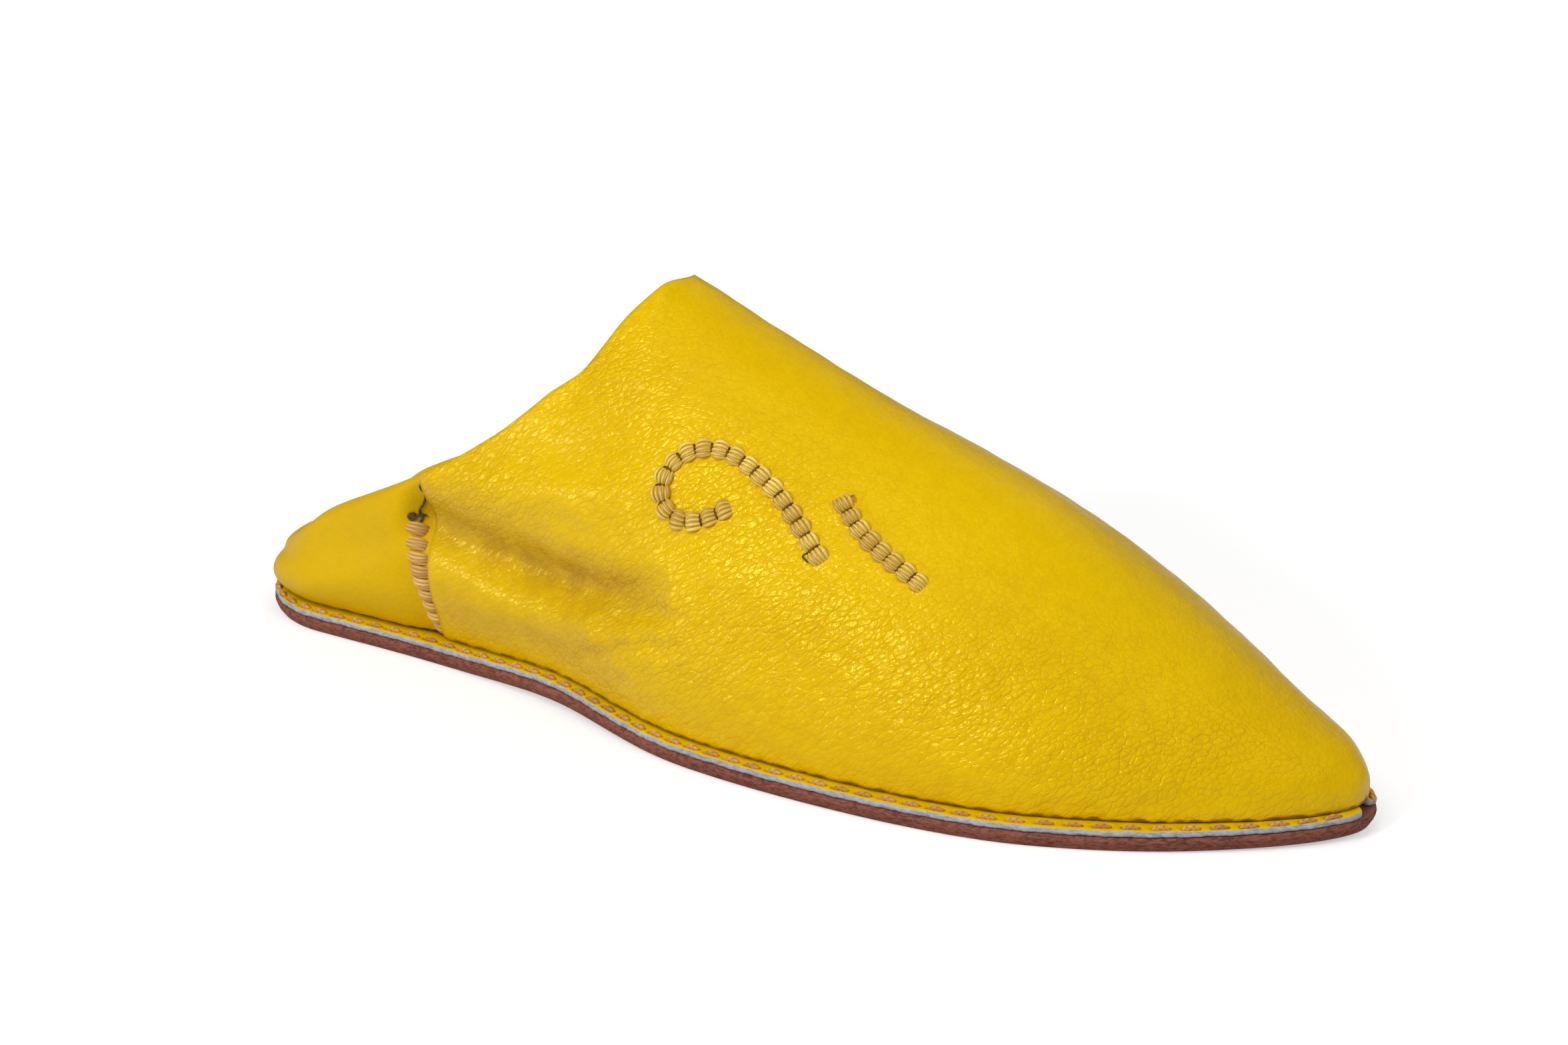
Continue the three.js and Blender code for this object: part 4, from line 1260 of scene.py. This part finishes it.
def stitch_tree(name, cords):
    """A tree that lays a bundle of side-by-side cords on each mark of its geometry.

    The bundle is barrel shaped: its outer cords bow outward and lie lower. Each stitch differs a
    little in size, in how it is turned and in its tint.
    """
    tree = bpy.data.node_groups.new(name, "GeometryNodeTree")
    face = tree.interface
    sockets = [("Marks", "Geometry", None)]
    sockets += [(title, "Float", default) for title, default in STITCH_SIZES]
    sockets += [("Seed", "Int", 1), ("Thread", "Material", None)]
    for title, kind, default in sockets:
        socket = face.new_socket(title, in_out="INPUT", socket_type="NodeSocket" + kind)
        if default is not None:
            socket.default_value = default
    face.new_socket("Stitches", in_out="OUTPUT", socket_type="NodeSocketGeometry")
    given = tree.nodes.new("NodeGroupInput").outputs
    result = tree.nodes.new("NodeGroupOutput")
    tubes = cord_tubes(tree, given, cord_arches(tree, given, cords))
    laid = add(
        tree,
        "FunctionNodeAxesToRotation",
        {0: mark_way(tree, "stitch_out"), 1: mark_way(tree, "stitch_way")},
        primary_axis="Z",
        secondary_axis="X",
    )
    more = given["Unevenness"]
    less = maths(tree, "MULTIPLY", more, -1.0)
    smallest = maths(tree, "SUBTRACT", 1.0, more)
    largest = maths(tree, "ADD", 1.0, more)
    size = random_number(tree, smallest, largest, given["Seed"])
    skew = random_number(tree, less, more, maths(tree, "ADD", given["Seed"], 7.0))
    tint = random_number(tree, 0.0, 1.0, maths(tree, "ADD", given["Seed"], 3.0))
    turned = add(
        tree,
        "FunctionNodeRotateRotation",
        {0: laid.outputs[0], 1: join_vector(tree, 0.0, 0.0, skew)},
        rotation_space="LOCAL",
    )
    stitch = {
        "Points": given["Marks"],
        "Instance": tubes,
        "Rotation": turned.outputs[0],
        "Scale": size,
    }
    placed = add(tree, "GeometryNodeInstanceOnPoints", stitch)
    tinted = stored(tree, placed.outputs[0], "thread_shade", tint, "INSTANCE")
    real = add(tree, "GeometryNodeRealizeInstances", {0: tinted})
    smooth = {"Geometry": real.outputs[0], "Shade Smooth": True}
    soft = add(tree, "GeometryNodeSetShadeSmooth", smooth)
    dressing = {"Geometry": soft.outputs[0], "Material": given["Thread"]}
    dressed = add(tree, "GeometryNodeSetMaterial", dressing)
    tree.links.new(dressed.outputs[0], result.inputs[0])
    return tree


def lay_stitches(name, tree, marks, material, **sizes):
    """Runs a stitch tree over the marks, with its named sizes in millimetres."""
    marked = mark_points(name + "_marks", marks)
    modifier = marked.modifiers.new("needle", "NODES")
    modifier.node_group = tree
    named = {item.name: item for item in tree.interface.items_tree if item.item_type == "SOCKET"}
    for title, value in sizes.items():
        title = title.replace("_", " ")
        modifier[named[title].identifier] = value if title in PLAIN_NUMBERS else value * MM
    modifier[named["Thread"].identifier] = material
    mesh = evaluated_mesh(marked)
    bpy.data.objects.remove(marked)
    mesh.name = name
    return new_piece(name, mesh, [material])


def side_mark(tree, side, x, z, way, sink=0.0):
    """A mark on the shoe's side at x and height z, with the way its stitch lies there."""
    start = Vector(to_frame((x, side * 90.0, z)))
    place, normal, _, _ = tree.ray_cast(start, Vector((0, -side, 0)), 0.2)
    if place is None:
        raise ValueError(f"no leather at {x}, {z}")
    if normal.y * side < 0:
        normal = -normal
    lying = Vector(way) - normal * Vector(way).dot(normal)
    return place - normal * (sink * MM), lying.normalized(), normal


def path_marks(tree, side, line, pitch, sink):
    """Marks along a path over the side, evenly spaced on the leather itself."""
    fine = flowing_line(line, 0.4)
    found = [np.array(side_mark(tree, side, x, z, (1, 0, 0))[0]) for x, z in fine]
    places = evenly(np.array(found), pitch * MM)
    shoe = to_shoe(places)
    marks = []
    for k, (x, _, z) in enumerate(shoe):
        before = shoe[max(0, k - 1)]
        after = shoe[min(len(shoe) - 1, k + 1)]
        marks.append(side_mark(tree, side, x, z, after - before, sink))
    return marks


def gap_marks(tree, side, line, pitch):
    """Marks across a path, half way between its stitches, where the needle went through and dark
    pieces stand in as painted shade.
    """
    marks = path_marks(tree, side, line, pitch, 0.1)
    between = []
    for (here, way, out), (there, _, _) in zip(marks, marks[1:]):
        between.append(((here + there) / 2, out.cross(way), out))
    return between


# The embroidery's two lines on the lateral side, in x and height.
SCROLL = (
    (143.6, 56.2),
    (139.8, 54.0),
    (135.4, 52.7),
    (131.2, 53.6),
    (128.3, 57.0),
    (128.2, 61.4),
    (130.8, 65.2),
    (136.0, 67.3),
    (141.5, 66.8),
    (147.3, 64.5),
    (153.6, 61.0),
    (159.4, 56.8),
    (167.2, 50.4),
)
STEM = ((168.7, 59.9), (173.8, 56.0), (180.2, 52.3), (189.8, 47.8))
BLOCK_PITCH = 3.72

# The whip stitches down each side seam, from their top to the rand.
WHIP_LINE = ((55.6, 32.0), (56.8, 26.0), (57.9, 20.0), (58.9, 13.5), (60.2, 7.6))
WHIP_PITCH = 2.95
WHIP_WAY = (1.0, 0.0, -0.12)  # the bars lie along the shoe and slope down a little to the toe
WHIP_SINK = 0.1

# The dark end of thread above the whip stitches.
LOOSE_THREAD = (
    (58.6, 44.6),
    (57.6, 43.2),
    (57.9, 41.4),
    (57.2, 39.6),
    (56.3, 38.0),
    (55.4, 36.2),
    (55.9, 34.4),
    (55.2, 33.0),
)
THREAD_KNOT = ((56.6, 34.9), (55.2, 35.2), (54.0, 34.3), (53.5, 35.3), (54.4, 35.8), (54.6, 34.2))

# The clipped ends of the embroidery thread, one by the stem's start and one by the scroll's end.
STEM_THREAD_END = ((167.6, 60.4), (168.4, 61.2), (169.3, 60.9), (170.2, 61.4), (171.2, 60.2))
SCROLL_THREAD_END = ((164.6, 50.6), (164.0, 49.9), (164.8, 49.3), (165.6, 48.9))


STITCH_SINK = 0.28  # how far below the rand's face its stitches lie


def rand_marks(stitches):
    """Marks for the running stitches, sunk a little in the rand's face."""
    marks = []
    for along, inset in stitches:
        x, y = (np.interp(along, WALKED, OUTLINE[:, k]) for k in range(2))
        in_x, in_y = (np.interp(along, WALKED, INWARD[:, k]) for k in range(2))
        height = rand_base(x) + RAND_THICKNESS - STITCH_SINK
        place = (x + in_x * inset, y + in_y * inset, height)
        marks.append((Vector(to_frame(place)), Vector((in_y, -in_x, 0.0)), Vector((0, 0, 1))))
    return marks


def whip_marks(tree, side):
    """Marks for the bars that whip the vamp's back edge down on the quarter."""
    marks = []
    for x, z in evenly(flowing_line(WHIP_LINE, 0.5), WHIP_PITCH):
        marks.append(side_mark(tree, side, x, z, WHIP_WAY, WHIP_SINK))
    return marks


TUBE_SIDES = 8
TUBE_END = 0.35  # the share of its thickness that a fine thread keeps at its ends


def thread_tube(name, line, radius, material):
    """A fine thread along points in the frame, as a closed tube with its twist attributes."""
    line = np.asarray(line, float)
    places = []
    along = []
    around = []
    walked = 0.0
    for k, spot in enumerate(line):
        ahead = line[min(k + 1, len(line) - 1)] - line[max(k - 1, 0)]
        ahead /= np.linalg.norm(ahead)
        across = np.cross(ahead, (0.3, 0.2, 0.93))
        across /= np.linalg.norm(across)
        up = np.cross(across, ahead)
        if k:
            walked += np.linalg.norm(line[k] - line[k - 1])
        taper = TUBE_END if k in (0, len(line) - 1) else 1.0
        for n in range(TUBE_SIDES):
            turn = 2 * math.pi * n / TUBE_SIDES
            out = across * math.cos(turn) + up * math.sin(turn)
            places.append(spot + radius * MM * taper * out)
            along.append(walked)
            around.append(n / TUBE_SIDES)
    faces = []
    for k in range(len(line) - 1):
        here = k * TUBE_SIDES
        there = here + TUBE_SIDES
        for n in range(TUBE_SIDES):
            nxt = (n + 1) % TUBE_SIDES
            faces.append((here + n, here + nxt, there + nxt, there + n))
    faces.append(tuple(reversed(range(TUBE_SIDES))))
    faces.append(tuple(range((len(line) - 1) * TUBE_SIDES, len(line) * TUBE_SIDES)))
    mesh = bpy.data.meshes.new(name)
    mesh.from_pydata([tuple(p) for p in places], [], faces)
    set_attribute(mesh, "thread_along", along)
    set_attribute(mesh, "thread_around", around)
    set_attribute(mesh, "thread_shade", [0.5] * len(places))
    smooth_faces(mesh)
    return new_piece(name, mesh, [material])


def laid_line(tree, side, line, spacing, lift):
    """A line of x and height points laid on the side's leather, lifted off it a little."""
    places = []
    for x, z in flowing_line(line, spacing):
        place, _, normal = side_mark(tree, side, x, z, (1, 0, 0))
        places.append(np.array(place + normal * lift * MM))
    return np.array(places)


# ---- all of the pieces ----

vamp = make_vamp()
quarter = make_quarter()
make_outsole()
make_insole()
walls = surface_tree(vamp.data, quarter.data)
stitches = stitch_places(ledge_widths(walls))
make_rand(stitches)

RUNNING = stitch_tree("running_stitch", 1)
BLOCK = stitch_tree("corded_block", 4)
BAR = stitch_tree("whipped_bar", 3)

lay_stitches(
    "rand_stitches",
    RUNNING,
    rand_marks(stitches),
    TAN_THREAD,
    Length=STITCH_LENGTH,
    Width=1.3,
    Cord_Radius=0.62,
    Rise=0.24,
    Dive=0.6,
    Unevenness=0.06,
    Seed=5,
)
for name, line in (("embroidery_scroll", SCROLL), ("embroidery_stem", STEM)):
    lay_stitches(
        name,
        BLOCK,
        path_marks(walls, LATERAL, line, BLOCK_PITCH, 0.05),
        GOLD_THREAD,
        Length=3.85,
        Width=3.9,
        Cord_Radius=0.6,
        Rise=0.95,
        Dive=0.85,
        Bow=1.6,
        Unevenness=0.07,
        Seed=11,
    )
    # Dark pieces in the gaps between the blocks: painted shade.
    lay_stitches(
        name + "_gap_shade",
        RUNNING,
        gap_marks(walls, LATERAL, line, BLOCK_PITCH),
        GAP_SHADE,
        Length=3.3,
        Width=1.1,
        Cord_Radius=0.42,
        Rise=0.2,
        Dive=0.25,
        Unevenness=0.1,
        Seed=2,
    )
for name, side in (("whip_stitches_lateral", LATERAL), ("whip_stitches_medial", MEDIAL)):
    lay_stitches(
        name,
        BAR,
        whip_marks(walls, side),
        SEAM_THREAD,
        Length=5.8,
        Width=3.0,
        Cord_Radius=0.6,
        Rise=0.9,
        Dive=0.6,
        Bow=1.15,
        Unevenness=0.08,
        Seed=3,
    )

# The fine threads: each one's line, the spacing of its points, how far it is lifted off the
# leather, its radius and its material.
FINE_THREADS = (
    ("loose_thread", LOOSE_THREAD, 0.35, 0.2, 0.28, DARK_THREAD),
    ("thread_knot", THREAD_KNOT, 0.25, 0.35, 0.32, DARK_THREAD),
    ("stem_thread_end", STEM_THREAD_END, 0.25, 0.3, 0.14, SEAM_THREAD),
    ("scroll_thread_end", SCROLL_THREAD_END, 0.25, 0.4, 0.18, DARK_THREAD),
)
for name, line, spacing, lift, radius, material in FINE_THREADS:
    thread_tube(name, laid_line(walls, LATERAL, line, spacing, lift), radius, material)

# ---- floor, light and camera ----

FLOOR_REACH = 4.0
CAMERA_AZIMUTH = 30.07  # round from the lateral side towards the toe, in degrees
CAMERA_ELEVATION = 20.6
CAMERA_DISTANCE = 0.8352
LENS = 86.0
LIGHT_TARGET = Vector((0.0, 0.0, 0.045))
CAMERA_TARGET = Vector((0.0, 0.0, 0.043))
WHITE = (1.0, 1.0, 1.0, 1.0)

# The panels of light round the shoe. Azimuth and elevation are in degrees, distance and size in
# metres and power in watts, and "mirrored" says whether the leather shows the panel as a glint.
PANEL_COLUMNS = ("name", "azimuth", "elevation", "distance", "width", "height", "power", "mirrored")
PANEL_ROWS = (
    ("sky_panel", -6, 58, 1.4, 0.9, 0.7, 6.4, False),
    ("key_panel", -15, 28, 1.3, 0.32, 0.13, 5.8, True),
    ("side_panel", -45, 6, 1.3, 0.16, 0.12, 2.0, True),
    ("toe_panel", 74, 40, 1.5, 0.8, 0.8, 6.0, False),
    ("back_panel", 190, 45, 1.5, 1.0, 0.8, 5.0, False),
)
PANELS = tuple(dict(zip(PANEL_COLUMNS, row)) for row in PANEL_ROWS)


def away_from(target, azimuth, elevation, distance):
    """A place seen from the target at this azimuth and elevation, in degrees."""
    a = math.radians(azimuth)
    e = math.radians(elevation)
    way = Vector((math.sin(a) * math.cos(e), -math.cos(a) * math.cos(e), math.sin(e)))
    return target + distance * way


def make_floor():
    mesh = bpy.data.meshes.new("floor")
    signs = ((-1, -1), (1, -1), (1, 1), (-1, 1))
    corners = [(across * FLOOR_REACH, up * FLOOR_REACH, 0) for across, up in signs]
    mesh.from_pydata(corners, [], [(0, 1, 2, 3)])
    material, tree, shader = new_material("pale_floor")
    tone = noise(tree, own_place(tree), 400, 2.0)
    shade = blend(tree, tone, (0.70, 0.70, 0.70, 1), (0.67, 0.67, 0.67, 1))
    tree.links.new(shade, shader.inputs["Base Color"])
    set_values(shader, {"Roughness": 0.9, "Specular IOR Level": 0.1, "Emission Color": WHITE})
    # Painted light: the floor glows for camera rays only, less near the shoe, so that it looks white
    # and its real shadow still shows.
    seen = add(tree, "ShaderNodeLightPath").outputs["Is Camera Ray"]
    away = add(tree, "ShaderNodeVectorMath", {0: own_place(tree)}, operation="LENGTH").outputs["Value"]
    far_glow = spread(tree, away, 0.12, 0.5, 0.46, 0.84)
    glow = maths(tree, "MULTIPLY_ADD", seen, far_glow, 0.03)
    tree.links.new(glow, shader.inputs["Emission Strength"])
    mesh.materials.append(material)
    floor = bpy.data.objects.new("floor", mesh)
    bpy.context.scene.collection.objects.link(floor)


def aim(thing, target, place):
    """Puts a light or camera at a place, looking at the target."""
    thing.location = place
    thing.rotation_mode = "QUATERNION"
    thing.rotation_quaternion = (target - thing.location).to_track_quat("-Z", "Y")
    bpy.context.scene.collection.objects.link(thing)


def make_light(panel):
    """A soft light; one that is not mirrored lights the leather without a glint of its own."""
    light = bpy.data.lights.new(panel["name"], "AREA")
    light.shape = "RECTANGLE"
    light.size = panel["width"]
    light.size_y = panel["height"]
    light.energy = panel["power"]
    lamp = bpy.data.objects.new(panel["name"], light)
    lamp.visible_glossy = panel["mirrored"]
    place = away_from(LIGHT_TARGET, panel["azimuth"], panel["elevation"], panel["distance"])
    aim(lamp, LIGHT_TARGET, place)


def white_room():
    """A white world: bright where the camera looks straight at it, and softer as a light."""
    world = bpy.data.worlds.new("white_room")
    world.use_nodes = True
    tree = world.node_tree
    seen = add(tree, "ShaderNodeLightPath").outputs["Is Camera Ray"]
    strength = spread(tree, seen, 0.0, 1.0, 0.18, 1.05, "LINEAR")
    backdrop = tree.nodes["Background"]
    set_values(backdrop, {"Color": WHITE})
    tree.links.new(strength, backdrop.inputs["Strength"])
    return world


def make_studio():
    for panel in PANELS:
        make_light(panel)
    bpy.context.scene.world = white_room()
    bpy.context.scene.view_settings.view_transform = "Standard"


def make_camera():
    data = bpy.data.cameras.new("camera")
    data.lens = LENS
    data.sensor_width = 36.0
    data.clip_start = 0.01
    camera = bpy.data.objects.new("camera", data)
    place = away_from(CAMERA_TARGET, CAMERA_AZIMUTH, CAMERA_ELEVATION, CAMERA_DISTANCE)
    aim(camera, CAMERA_TARGET, place)
    bpy.context.scene.camera = camera


make_floor()
make_studio()
make_camera()
